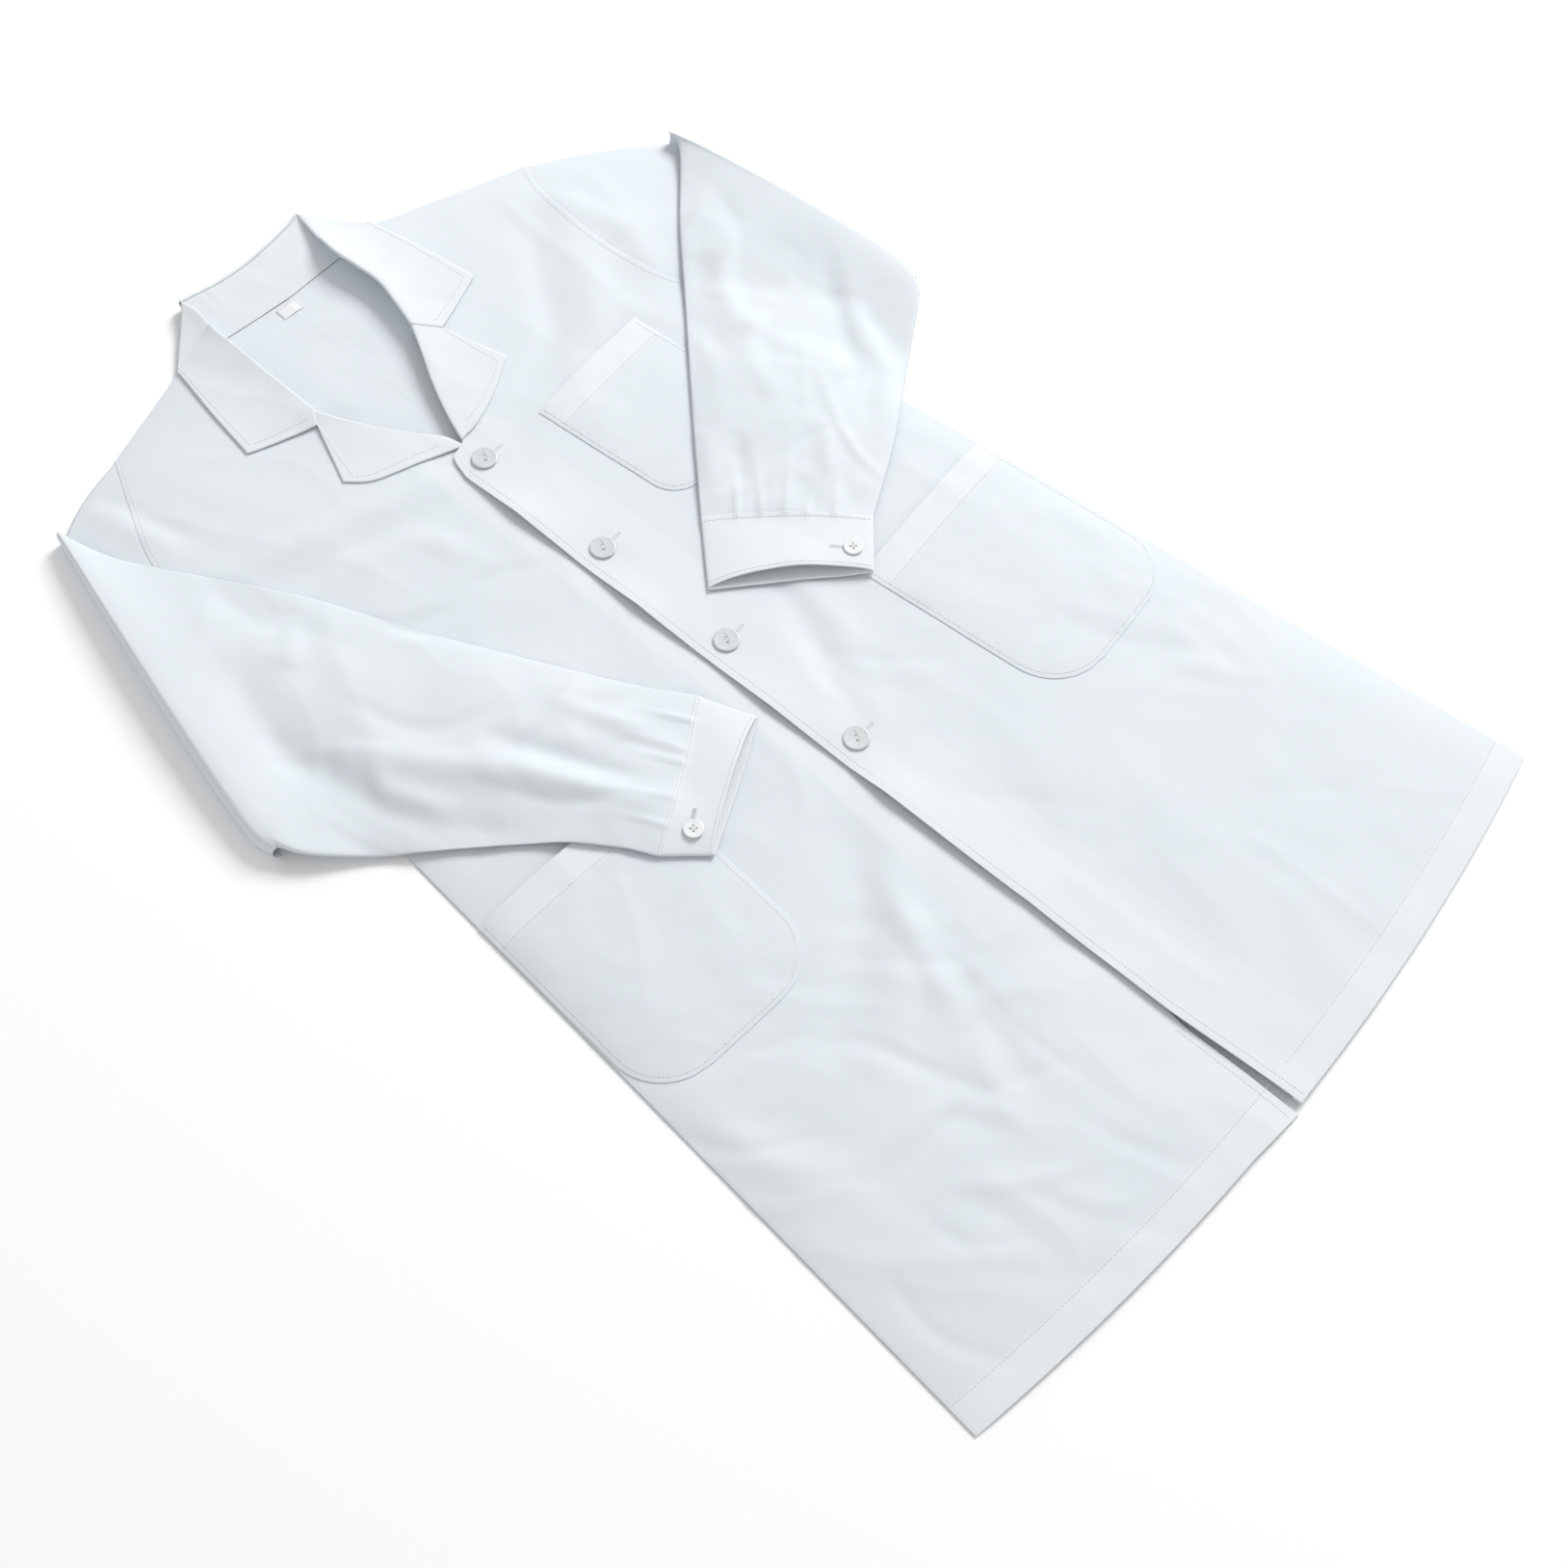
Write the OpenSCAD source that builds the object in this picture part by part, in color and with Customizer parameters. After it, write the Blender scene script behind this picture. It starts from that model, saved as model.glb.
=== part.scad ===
// Knee-length lab coat, buttoned and laid on its back with both sleeves folded over the front.
// +X points to the wearer's left, +Y to the collar and +Z up from the surface it lies on.
// Outlines are drawn from the middle of the hem, and in_frame() moves them so that the
// origin is under the middle of the whole coat. One sheet of cloth stands for each layer.

/* [Body] */
// Length from the hem to the fold of the collar
coat_length = 1056; // [1050:1:1064]
// Half of the hem's width, laid flat
hem_half = 316; // [308:1:322]
// How much higher the hem is at the side seams than at the front edges
hem_rise = 28; // [16:1:36]
// Lean of the side seams, in degrees
side_lean = 5; // [4.6:0.1:5.2]
// Height of the underarm above the hem
underarm_y = 765; // [755:1:775]
// Width of the facing behind each front edge
facing_w = 60; // [40:1:70]

/* [Layers] */
// Thickness that stands for one layer of cloth
cloth = 1.2; // [1:0.1:1.3]
// Thickness that stands for a facing
lining = 0.8; // [0.6:0.1:0.9]
// Clear height kept inside the body, the sleeves and the pockets
room = 4.6; // [4.4:0.1:4.7]
// Width of the closed edge along a seam
seam_w = 5; // [4:0.5:7]

/* [Pockets] */
// Width of a hip pocket
hip_w = 156; // [140:1:160]
// Depth of a hip pocket
hip_h = 184; // [160:1:190]
// Radius of a hip pocket's lower corners
hip_r = 46; // [30:1:60]
// Width of the chest pocket
chest_w = 120; // [100:1:124]
// Depth of the chest pocket
chest_h = 140; // [120:1:145]
// Radius of the chest pocket's lower corners
chest_r = 28; // [20:1:40]

/* [Buttons] */
// Diameter of a front button
front_button_d = 20; // [18:0.5:21]
// Diameter of a cuff button
cuff_button_d = 15; // [12:0.5:17]
// Thickness of a button
button_t = 2.2; // [1.8:0.1:2.6]
// Distance from one front button to the next
button_step = 124.5; // [120:0.5:126]
// Length of the thread shank under a button
shank_h = 0.8; // [0.6:0.1:1.2]

/* [Hidden] */
$fn = 48;

white = [0.94, 0.95, 0.97];
pearl = [0.84, 0.87, 0.88];

// Heights of the layers, from the surface up
right_facing_z = cloth + room;
right_front_z = right_facing_z + lining;
right_top_z = right_front_z + cloth;
left_facing_z = right_top_z;
left_front_z = left_facing_z + lining;
left_top_z = left_front_z + cloth;
arm_gap = 1;
arm_z = left_top_z + room + cloth + arm_gap;
arm_h = 2 * cloth + room;
collar_gap = 0.4;
collar_t = 1.6;
hinge_gap = 0.4;
roll_gap = 1.1;
big = 3000;

// Neck, shoulders and armholes, from the neck to the underarm
neck_seam = [[-44, 1012], [-10, 1006], [24, 1004], [76, 1006]];
collar_fold = [[-45, coat_length], [16, coat_length - 7], [80, coat_length]];
neck_side_left = [92, 1020];
neck_side_right = [-62, 1022];
armhole_left = [[250, 962], [236, 930], [228, 870], [233, 800], [side_x(underarm_y), underarm_y]];
armhole_right = [[-180, 985], [-205, 935], [-225, 890], [-240, 825], [-side_x(underarm_y), underarm_y]];

// Front edges, from the hem up. The left front laps over the right one.
left_edge = [[-8, 0], [-14, 103], [-14, 768]];
right_edge = [[-15.5, -3], [-15.5, 90], [28, 395], [28, 770]];

// Roll lines of the lapels, from the neck down
roll_left = [[78, 985], [14, 797]];
roll_right = [[-54, 975], [-8, 800]];
roll_up_deg = 105;

// Outlines of the turned-out collar ends and lapels
notch_left = [75, 883];
notch_right = [-57, 887];
gorge_left = [46, 903];
gorge_right = [-30, 903];
collar_tip_left = [131, 904];
collar_tip_right = [-110, 909];
collar_outer_left = [118, 1011];
collar_outer_right = [-91, 1013];
lapel_edge_left = [[91, 828], [56, 808], [26, 799], [12, 799]];
lapel_edge_right = [[-64, 866], [-80, 834], [-65, 819], [-45, 810], [-20, 802], [-4, 806]];

// Fold lines of the sleeves, from the shoulder down
fold_left = [[350, 890], [369, 631]];
fold_right = [[-257, 958], [-336, 638]];

// Edges of the folded sleeves, from the fold line to the cuff, and the cuffs' ends
sleeve_left_upper = [[350, 890], [285, 819], [227, 761], [145, 679], [75, 607]];
sleeve_left_lower = [[369, 631], [301, 588], [228, 543], [162, 509]];
sleeve_right_upper = [[-257, 958], [-229, 882], [-176, 788], [-122, 662], [-43, 505]];
sleeve_right_lower = [[-336, 638], [-266, 567], [-205, 506], [-158, 437]];
cuff_left_end = [[30, 559], [123, 476]];
cuff_right_end = [[-27, 459], [-131, 408]];

// The coat's own middle, seen from the middle of the hem
frame_shift = [-(fold_left[1].x + fold_right[1].x) / 2, -(coat_length + right_edge[0].y) / 2, 0];

// Lines on which the free corners of the skirt turn back, from the front edge to the hem
skirt_turn_left = [[-14, 350], [150, 6]];
skirt_turn_right = [[-15.5, 90], [-112, 3]];

// Middles and turns of the pockets' top edges
hip_top = [197, 490];
hip_turn = 4.4;
chest_top = [126, 773];
chest_turn = 4.8;
pocket_t = 1;

// Button places
button_x = 7;
button_4_y = 395.5;
cuff_button_left_at = [128, 501];
cuff_button_right_at = [-127, 431];
thread_hole_r = 0.9;
thread_hole_out = 2.1;
front_hole_turns = [58, 238];
cuff_hole_turns = [45, 135, 225, 315];
shank_r = 1.6;
label_size = [20, 12, 0.5];
label_at = [13, 996];

function side_x(y) = hem_half - (y - hem_rise) * tan(side_lean);
function hem_y(x) = hem_rise * pow(x / hem_half, 2);
function hem_points(x0, x1) = [for (i = [0:8]) let (x = x0 + (x1 - x0) * i / 8) [x, hem_y(x)]];
function unit(v) = v / norm(v);
function turned(v) = [-v.y, v.x];
function reversed(list) = [for (i = [len(list) - 1:-1:0]) list[i]];

function back_neck(x) = lookup(x, neck_seam);

module in_frame() translate(frame_shift) children();

module sheet(z, t) translate([0, 0, z]) linear_extrude(t) children();

// All that lies at least gap away from the line a-b, on its left (side 1) or right (side -1)
module beside(a, b, side, gap = 0) {
    along = unit(b - a);
    out = side * turned(along);
    polygon([
        a - along * big + out * gap,
        b + along * big + out * gap,
        b + along * big + out * big,
        a - along * big + out * big
    ]);
}

// A strip of the seam's width inside the line a-b, and as much longer at both ends
module seam_strip(a, b, side) {
    along = unit(b - a) * seam_w;
    across = side * turned(along);
    polygon([a - along, b + along, b + along + across, a - along + across]);
}

module seam_strips(points, side) {
    for (i = [0:len(points) - 2])
        seam_strip(points[i], points[i + 1], side);
}

module back_left_2d() {
    polygon(concat(
        hem_points(0, hem_half), reversed(armhole_left), [neck_side_left], [neck_seam[3], neck_seam[2]],
        [[16, back_neck(16)]]
    ));
}

module back_right_2d() {
    polygon(concat(
        hem_points(0, -hem_half), reversed(armhole_right), [neck_side_right],
        [neck_seam[0], neck_seam[1], [16, back_neck(16)]]
    ));
}

module front_left_2d() {
    polygon(concat(
        left_edge, reversed(roll_left), [neck_side_left], armhole_left, hem_points(hem_half, 0)
    ));
}

module front_right_2d() {
    polygon(concat(
        right_edge, reversed(roll_right), [neck_side_right], armhole_right, hem_points(-hem_half, -20)
    ));
}

// The strip of a front that its facing backs
module facing_band(edge, way) {
    inner = [for (p = reversed(edge)) p + [way * facing_w, 0]];
    polygon(concat(edge, inner));
}

// A back panel, with its side and shoulder seams raised to meet the front
module back_left() {
    color(white) in_frame() {
        sheet(0, cloth) back_left_2d();
        sheet(cloth, left_front_z - cloth) intersection() {
            back_left_2d();
            union() {
                seam_strip([hem_half, hem_rise], armhole_left[4], 1);
                seam_strip(armhole_left[0], neck_side_left, 1);
            }
        }
    }
}

module back_right() {
    color(white) in_frame() {
        sheet(0, cloth) back_right_2d();
        sheet(cloth, right_front_z - cloth) intersection() {
            back_right_2d();
            union() {
                seam_strip([-hem_half, hem_rise], armhole_right[4], -1);
                seam_strip(armhole_right[0], neck_side_right, -1);
            }
        }
    }
}

module front_left() {
    color(white) in_frame() sheet(left_front_z, cloth) intersection() {
        front_left_2d();
        beside(skirt_turn_left[0], skirt_turn_left[1], 1, hinge_gap);
    }
}

module skirt_left() {
    color(white) in_frame() sheet(left_front_z, cloth) intersection() {
        front_left_2d();
        beside(skirt_turn_left[0], skirt_turn_left[1], -1, hinge_gap);
    }
}

module facing_left() {
    color(white) in_frame() sheet(left_facing_z, lining) intersection() {
        front_left_2d();
        facing_band(left_edge, 1);
        beside(skirt_turn_left[0], skirt_turn_left[1], 1, hinge_gap);
    }
}

module skirt_facing_left() {
    color(white) in_frame() sheet(left_facing_z, lining) intersection() {
        front_left_2d();
        facing_band(left_edge, 1);
        beside(skirt_turn_left[0], skirt_turn_left[1], -1, hinge_gap);
    }
}

module front_right() {
    color(white) in_frame() sheet(right_front_z, cloth) intersection() {
        front_right_2d();
        beside(skirt_turn_right[0], skirt_turn_right[1], -1, hinge_gap);
    }
}

module skirt_right() {
    color(white) in_frame() sheet(right_front_z, cloth) intersection() {
        front_right_2d();
        beside(skirt_turn_right[0], skirt_turn_right[1], 1, hinge_gap);
    }
}

module facing_right() {
    color(white) in_frame() sheet(right_facing_z, lining) intersection() {
        front_right_2d();
        facing_band(right_edge, -1);
        beside(skirt_turn_right[0], skirt_turn_right[1], -1, hinge_gap);
    }
}

module skirt_facing_right() {
    color(white) in_frame() sheet(right_facing_z, lining) intersection() {
        front_right_2d();
        facing_band(right_edge, -1);
        beside(skirt_turn_right[0], skirt_turn_right[1], 1, hinge_gap);
    }
}

// The collar stands up round the neck and folds outwards along its top edge
module collar_stand() {
    color(white) in_frame() sheet(cloth, right_top_z + collar_gap + collar_t - cloth)
        polygon(concat(collar_fold, reversed(neck_seam)));
}

module under_collar() {
    color(white) in_frame() sheet(0, cloth) polygon(concat(collar_fold, reversed(neck_seam)));
}

// The line across the collar at which its end starts to turn with the lapel
function collar_cut(roll, way) = [roll[0], roll[0] + way * turned(unit(roll[1] - roll[0]))];

module collar_wing_left() {
    cut = collar_cut(roll_left, 1);
    color(white) in_frame() sheet(left_top_z + collar_gap, collar_t) difference() {
        polygon([
            collar_fold[2], collar_outer_left, collar_outer_left + [6, -60], roll_left[0], neck_seam[3]
        ]);
        beside(cut[0], cut[1], -1, -hinge_gap);
    }
}

module collar_wing_right() {
    cut = collar_cut(roll_right, -1);
    color(white) in_frame() sheet(right_top_z + collar_gap, collar_t) difference() {
        polygon([
            collar_fold[0], collar_outer_right, collar_outer_right + [-8, -60], roll_right[0], neck_seam[0]
        ]);
        beside(cut[0], cut[1], 1, -hinge_gap);
    }
}

module collar_end_left() {
    cut = collar_cut(roll_left, 1);
    color(white) in_frame() sheet(left_top_z + collar_gap, collar_t) intersection() {
        polygon([roll_left[0], collar_outer_left, collar_tip_left, notch_left, gorge_left]);
        beside(cut[0], cut[1], -1);
        beside(roll_left[0], roll_left[1], 1, roll_gap);
    }
}

module collar_end_right() {
    cut = collar_cut(roll_right, -1);
    color(white) in_frame() sheet(right_top_z + collar_gap, collar_t) intersection() {
        polygon([roll_right[0], collar_outer_right, collar_tip_right, notch_right, gorge_right]);
        beside(cut[0], cut[1], 1);
        beside(roll_right[0], roll_right[1], -1, roll_gap);
    }
}

module lapel_left() {
    color(white) in_frame() sheet(left_top_z + collar_gap, collar_t) intersection() {
        polygon(concat([gorge_left, notch_left], lapel_edge_left));
        beside(roll_left[0], roll_left[1], 1, roll_gap);
    }
}

module lapel_right() {
    color(white) in_frame() sheet(right_top_z + collar_gap, collar_t) intersection() {
        polygon(concat([gorge_right, notch_right], lapel_edge_right));
        beside(roll_right[0], roll_right[1], -1, roll_gap);
    }
}

// A flattened tube: a lower and an upper sheet, closed along two edges and open at both ends
module flat_tube(outline, edge_a, side_a, edge_b, side_b, z, height) {
    sheet(z, cloth) polygon(outline);
    sheet(z + height - cloth, cloth) polygon(outline);
    sheet(z + cloth, height - 2 * cloth) intersection() {
        polygon(outline);
        union() {
            seam_strips(edge_a, side_a);
            seam_strips(edge_b, side_b);
        }
    }
}

// The upper arm, from the armhole to the fold line
module sleeve_cap_left() {
    color(white) in_frame() flat_tube(
        concat(armhole_left, reversed(fold_left)),
        [armhole_left[0], fold_left[0]], -1, [fold_left[1], armhole_left[4]], -1,
        0, left_top_z
    );
}

module sleeve_cap_right() {
    color(white) in_frame() flat_tube(
        concat(armhole_right, reversed(fold_right)),
        [armhole_right[0], fold_right[0]], 1, [fold_right[1], armhole_right[4]], 1,
        0, right_top_z
    );
}

// The rest of each sleeve, folded back over the front. Its under and over layers meet in a
// folded edge on the upper side and in the underarm seam on the lower side.
function sleeve_left_outline() = concat(sleeve_left_upper, reversed(sleeve_left_lower));
function sleeve_right_outline() = concat(sleeve_right_upper, reversed(sleeve_right_lower));

module sleeve_layer(outline, z) color(white) in_frame() sheet(z, cloth) polygon(outline);

module sleeve_rim(outline, edge, side) {
    color(white) in_frame() sheet(arm_z + cloth, room) intersection() {
        polygon(outline);
        seam_strips(edge, side);
    }
}

module sleeve_under_left() sleeve_layer(sleeve_left_outline(), arm_z);
module sleeve_under_right() sleeve_layer(sleeve_right_outline(), arm_z);
module sleeve_over_left() sleeve_layer(sleeve_left_outline(), arm_z + arm_h - cloth);
module sleeve_over_right() sleeve_layer(sleeve_right_outline(), arm_z + arm_h - cloth);
module sleeve_edge_left() sleeve_rim(sleeve_left_outline(), sleeve_left_upper, 1);
module sleeve_edge_right() sleeve_rim(sleeve_right_outline(), sleeve_right_upper, -1);
module sleeve_seam_left() sleeve_rim(sleeve_left_outline(), sleeve_left_lower, -1);
module sleeve_seam_right() sleeve_rim(sleeve_right_outline(), sleeve_right_lower, 1);

module cuff_left() {
    top = [sleeve_left_upper[4], sleeve_left_lower[3]];
    color(white) in_frame() flat_tube(
        concat(top, reversed(cuff_left_end)),
        [top[0], cuff_left_end[0]], 1, [top[1], cuff_left_end[1]], -1, arm_z, arm_h
    );
}

module cuff_right() {
    top = [sleeve_right_upper[4], sleeve_right_lower[3]];
    color(white) in_frame() flat_tube(
        concat(top, reversed(cuff_right_end)),
        [top[0], cuff_right_end[0]], -1, [top[1], cuff_right_end[1]], 1, arm_z, arm_h
    );
}

module pocket_2d(w, h, r) {
    translate([-w / 2, r - h]) square([w, h - r]);
    translate([r - w / 2, -h]) square([w - 2 * r, r]);
    for (way = [-1, 1])
        translate([way * (w / 2 - r), r - h]) circle(r);
}

// A patch sewn on along its sides and bottom, and open at its top edge
module patch_pocket(w, h, r, z) {
    sheet(z + room, pocket_t) pocket_2d(w, h, r);
    sheet(z, room) difference() {
        pocket_2d(w, h, r);
        translate([0, 1]) pocket_2d(w - 2 * seam_w, h + 1 - seam_w, r - seam_w);
    }
}

module chest_pocket() {
    color(white) in_frame() translate(chest_top) rotate(chest_turn)
        patch_pocket(chest_w, chest_h, chest_r, left_top_z);
}

module hip_pocket_left() {
    color(white) in_frame() translate(hip_top) rotate(hip_turn)
        patch_pocket(hip_w, hip_h, hip_r, left_top_z);
}

module hip_pocket_right() {
    color(white) in_frame() translate([-hip_top.x, hip_top.y]) rotate(-hip_turn)
        patch_pocket(hip_w, hip_h, hip_r, right_top_z);
}

module size_label() {
    color(white) in_frame() translate([label_at.x, label_at.y, cloth + label_size.z / 2])
        cube(label_size, center = true);
}

function front_button_at(i) = [button_x, button_4_y + (4 - i) * button_step, left_top_z];

module shank(at) color(white) in_frame() translate(at) cylinder(h = shank_h, r = shank_r);

module sewn_button(at, d, turns) {
    color(pearl) in_frame() translate(at + [0, 0, shank_h]) difference() {
        cylinder(h = button_t, d = d);
        for (turn = turns)
            rotate(turn) translate([thread_hole_out, 0, -1])
                cylinder(h = button_t + 2, r = thread_hole_r);
    }
}

module front_button(i) sewn_button(front_button_at(i), front_button_d, front_hole_turns);
module front_shank(i) shank(front_button_at(i));
module cuff_button(at) sewn_button([at.x, at.y, arm_z + arm_h], cuff_button_d, cuff_hole_turns);
module cuff_shank(at) shank([at.x, at.y, arm_z + arm_h]);

back_left();
back_right();
front_left();
front_right();
facing_left();
facing_right();
skirt_left();
skirt_right();
skirt_facing_left();
skirt_facing_right();
collar_stand();
under_collar();
collar_wing_left();
collar_wing_right();
collar_end_left();
collar_end_right();
lapel_left();
lapel_right();
sleeve_cap_left();
sleeve_cap_right();
sleeve_under_left();
sleeve_under_right();
sleeve_over_left();
sleeve_over_right();
sleeve_edge_left();
sleeve_edge_right();
sleeve_seam_left();
sleeve_seam_right();
cuff_left();
cuff_right();
chest_pocket();
hip_pocket_left();
hip_pocket_right();
size_label();
front_button(1);  // front_button_1
front_button(2);  // front_button_2
front_button(3);  // front_button_3
front_button(4);  // front_button_4
cuff_button(cuff_button_left_at);  // cuff_button_left
cuff_button(cuff_button_right_at);  // cuff_button_right
front_shank(1);  // front_shank_1
front_shank(2);  // front_shank_2
front_shank(3);  // front_shank_3
front_shank(4);  // front_shank_4
cuff_shank(cuff_button_left_at);  // cuff_shank_left
cuff_shank(cuff_button_right_at);  // cuff_shank_right
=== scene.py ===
"""The lab coat as it lies: every sheet of cloth, seam, stitch and button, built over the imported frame.

Lengths are in millimetres until a mesh is made. Plan points are (x, y) from the middle of the
hem, x towards the wearer's left and y towards the collar, and z is up from the floor.
"""

import math

import bpy
import numpy as np
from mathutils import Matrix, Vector


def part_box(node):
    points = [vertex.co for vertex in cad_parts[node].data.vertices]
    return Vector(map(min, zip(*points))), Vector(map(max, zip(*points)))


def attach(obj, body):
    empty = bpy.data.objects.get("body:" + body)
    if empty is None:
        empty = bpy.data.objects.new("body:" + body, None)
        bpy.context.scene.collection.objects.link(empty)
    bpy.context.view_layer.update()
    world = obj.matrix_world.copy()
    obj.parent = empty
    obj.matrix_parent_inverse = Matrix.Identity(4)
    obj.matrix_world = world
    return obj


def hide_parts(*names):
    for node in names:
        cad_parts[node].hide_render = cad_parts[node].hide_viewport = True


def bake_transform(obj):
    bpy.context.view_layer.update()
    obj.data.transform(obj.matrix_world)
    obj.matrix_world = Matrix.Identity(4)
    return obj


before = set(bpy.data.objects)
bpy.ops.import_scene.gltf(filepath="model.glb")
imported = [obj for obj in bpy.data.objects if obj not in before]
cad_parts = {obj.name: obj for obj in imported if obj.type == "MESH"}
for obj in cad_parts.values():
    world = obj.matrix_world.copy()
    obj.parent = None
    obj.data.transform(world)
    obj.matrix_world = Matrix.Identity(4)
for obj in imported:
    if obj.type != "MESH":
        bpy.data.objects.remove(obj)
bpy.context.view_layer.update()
MM = 0.001

# --- cut of the coat, in plan

SIDES = ("left", "right")
BUTTON_X = 7
BUTTON_YS = (769, 644.5, 520, 395.5)
HEM_HALF = 316
HEM_RISE = 28
NECK_SEAM = [(-44, 1012), (-11, 1008), (24, 1005), (76, 1006)]
ROLL_BACK = [(-45, 1057), (-15, 1051), (16, 1049), (50, 1051), (80, 1056)]
ROLL_YS = (795, 850, 900, 950, 1000, 1056)
# Way is 1 on the wearer's left, seen is how many points of the front edge lie in sight, rise is the roll's
# height at each of ROLL_YS, and squash is how flat the sleeve's fold is rolled at its upper and lower end.
CUT = {
    "left": {
        "way": 1,
        "side": [(316, 28), (251.5, 765)],
        "armhole": [(250, 962), (236, 930), (228, 870), (233, 800), (251.5, 765)],
        "shoulder": [(92, 1020), (250, 962)],
        "back_top": [(16, 1005), (76, 1006), (92, 1020), (250, 962)],
        "edge": [(-8, 0), (-14, 103), (-14, 768)],
        "seen": 3,
        "neck": [
            (-14, 768), (-7, 788), (9, 795), (19, 822), (32, 850), (47, 877), (59, 900), (70, 930), (82, 975),
            (92, 1020)
        ],
        "roll": [
            (9, 795), (19, 822), (32, 850), (47, 877), (59, 900), (67, 928), (72, 952), (71, 976), (70, 1000),
            (74, 1027), (80, 1056)
        ],
        "rise": (0.5, 2.5, 6, 10, 12.5, 11),
        "stand_foot": [(76, 1006), (84, 985), (84, 955), (78, 928), (62, 903)],
        "gorge": (59, 900),
        "notch": (75, 883),
        "collar_outer": [(118, 1011), (125, 955), (131, 904)],
        "lapel_low": [(9, 795), (26, 797), (56, 808), (90, 827)],
        "cap_top": [(250, 962), (303, 928), (350, 890)],
        "cap_low": [(251.5, 765), (312, 694), (366, 634)],
        "fold": [(350, 890), (354, 850), (363, 740), (369, 660), (366, 634)],
        "squash": (0.30, 0.34),
        "arm_top": [(350, 890), (342, 870), (285, 819), (227, 761), (145, 679), (75, 607)],
        "arm_low": [(366, 634), (354, 620), (301, 588), (228, 543), (162, 509)],
        "cuff_seam": [(75, 607), (119, 560), (162, 509)],
        "cuff_end": [(30, 559), (78, 518), (123, 476)],
    },
    "right": {
        "way": -1,
        "side": [(-316, 28), (-251.5, 765)],
        "armhole": [(-180, 985), (-205, 935), (-225, 890), (-240, 825), (-251.5, 765)],
        "shoulder": [(-62, 1022), (-180, 985)],
        "back_top": [(16, 1005), (-11, 1008), (-44, 1012), (-62, 1022), (-180, 985)],
        "edge": [(-15.5, -3), (-15.5, 90), (28, 395), (28, 770)],
        "seen": 2,
        "neck": [
            (28, 770), (20, 786), (8, 795), (1, 813), (-26, 850), (-48, 892), (-50, 945), (-54, 985),
            (-62, 1022),
        ],
        "roll": [
            (8, 795), (1, 813), (-26, 850), (-48, 892), (-49, 909), (-49, 945), (-47, 1012), (-43, 1040),
            (-45, 1057)
        ],
        "rise": (0.2, 1.5, 4, 6.5, 8.5, 9.5),
        "stand_foot": [(-44, 1012), (-57, 990), (-60, 955), (-56, 920), (-49, 900)],
        "gorge": (-48.5, 900),
        "notch": (-57, 887),
        "collar_outer": [(-91, 1013), (-102, 960), (-110, 909)],
        "lapel_low": [(6, 790), (-20, 801), (-45, 810), (-65, 819), (-80, 834)],
        "cap_top": [(-180, 985), (-222, 974), (-257, 958)],
        "cap_low": [(-251.5, 765), (-294, 700), (-331, 640)],
        "fold": [(-257, 958), (-279, 880), (-311, 760), (-332, 668), (-331, 640)],
        "squash": (0.35, 0.75),
        "arm_top": [
            (-257, 958), (-247, 920), (-229, 882), (-176, 788), (-146, 718), (-122, 662), (-72, 556),
            (-43, 505),
        ],
        "arm_low": [(-331, 640), (-316, 616), (-266, 567), (-205, 506), (-172, 463), (-158, 437)],
        "cuff_seam": [(-43, 505), (-100, 469), (-158, 437)],
        "cuff_end": [(-27, 459), (-71, 436), (-131, 408)],
    },
}
# Large creases of the fronts and of the sleeves: height, negative for a valley, then width and line.
FRONT_FOLDS = {
    "left": [
        (2.6, 16, [(240, 920), (200, 850), (160, 795), (105, 765), (60, 760)]),
        (-2.4, 13, [(210, 925), (170, 870), (135, 820), (80, 795), (35, 790)]),
        (2.0, 12, [(240, 930), (240, 890), (250, 850), (230, 785)]),
        (-1.6, 10, [(75, 540), (55, 485), (25, 430), (10, 400)]),
        (1.6, 12, [(90, 530), (74, 470), (45, 415), (25, 380)]),
        (-1.3, 14, [(265, 295), (260, 265), (205, 265), (165, 245)]),
        (1.3, 16, [(275, 250), (270, 220), (200, 185), (180, 140)]),
        (0.9, 4, [(130, 145), (130, 60), (130, 10)]),
        (1.2, 30, [(60, 330), (95, 250), (90, 170), (60, 90)]),
        (-1.0, 24, [(20, 330), (40, 250), (30, 150), (20, 60)]),
    ],
    "right": [
        (2.4, 13, [(-10, 775), (-50, 790), (-110, 810), (-190, 840), (-210, 860)]),
        (-2.2, 14, [(-15, 750), (-60, 765), (-115, 783), (-190, 805)]),
        (1.5, 10, [(-155, 785), (-105, 765), (-75, 750), (-55, 690)]),
        (-2.4, 15, [(-45, 360), (-85, 315), (-135, 280), (-200, 255)]),
        (2.4, 15, [(-30, 335), (-66, 292), (-118, 252), (-185, 225)]),
        (1.9, 10, [(-60, 325), (-85, 265), (-110, 215)]),
        (-1.8, 11, [(-65, 255), (-95, 205), (-115, 135)]),
        (1.4, 13, [(-275, 315), (-270, 260), (-265, 200)]),
        (1.2, 12, [(-120, 195), (-135, 135), (-110, 75)]),
        (-1.2, 12, [(-240, 210), (-230, 140), (-220, 100)]),
        (1.5, 11, [(-225, 965), (-215, 930), (-205, 870)]),
        (-1.3, 8, [(-212, 968), (-202, 930), (-190, 880)]),
    ],
}
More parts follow.
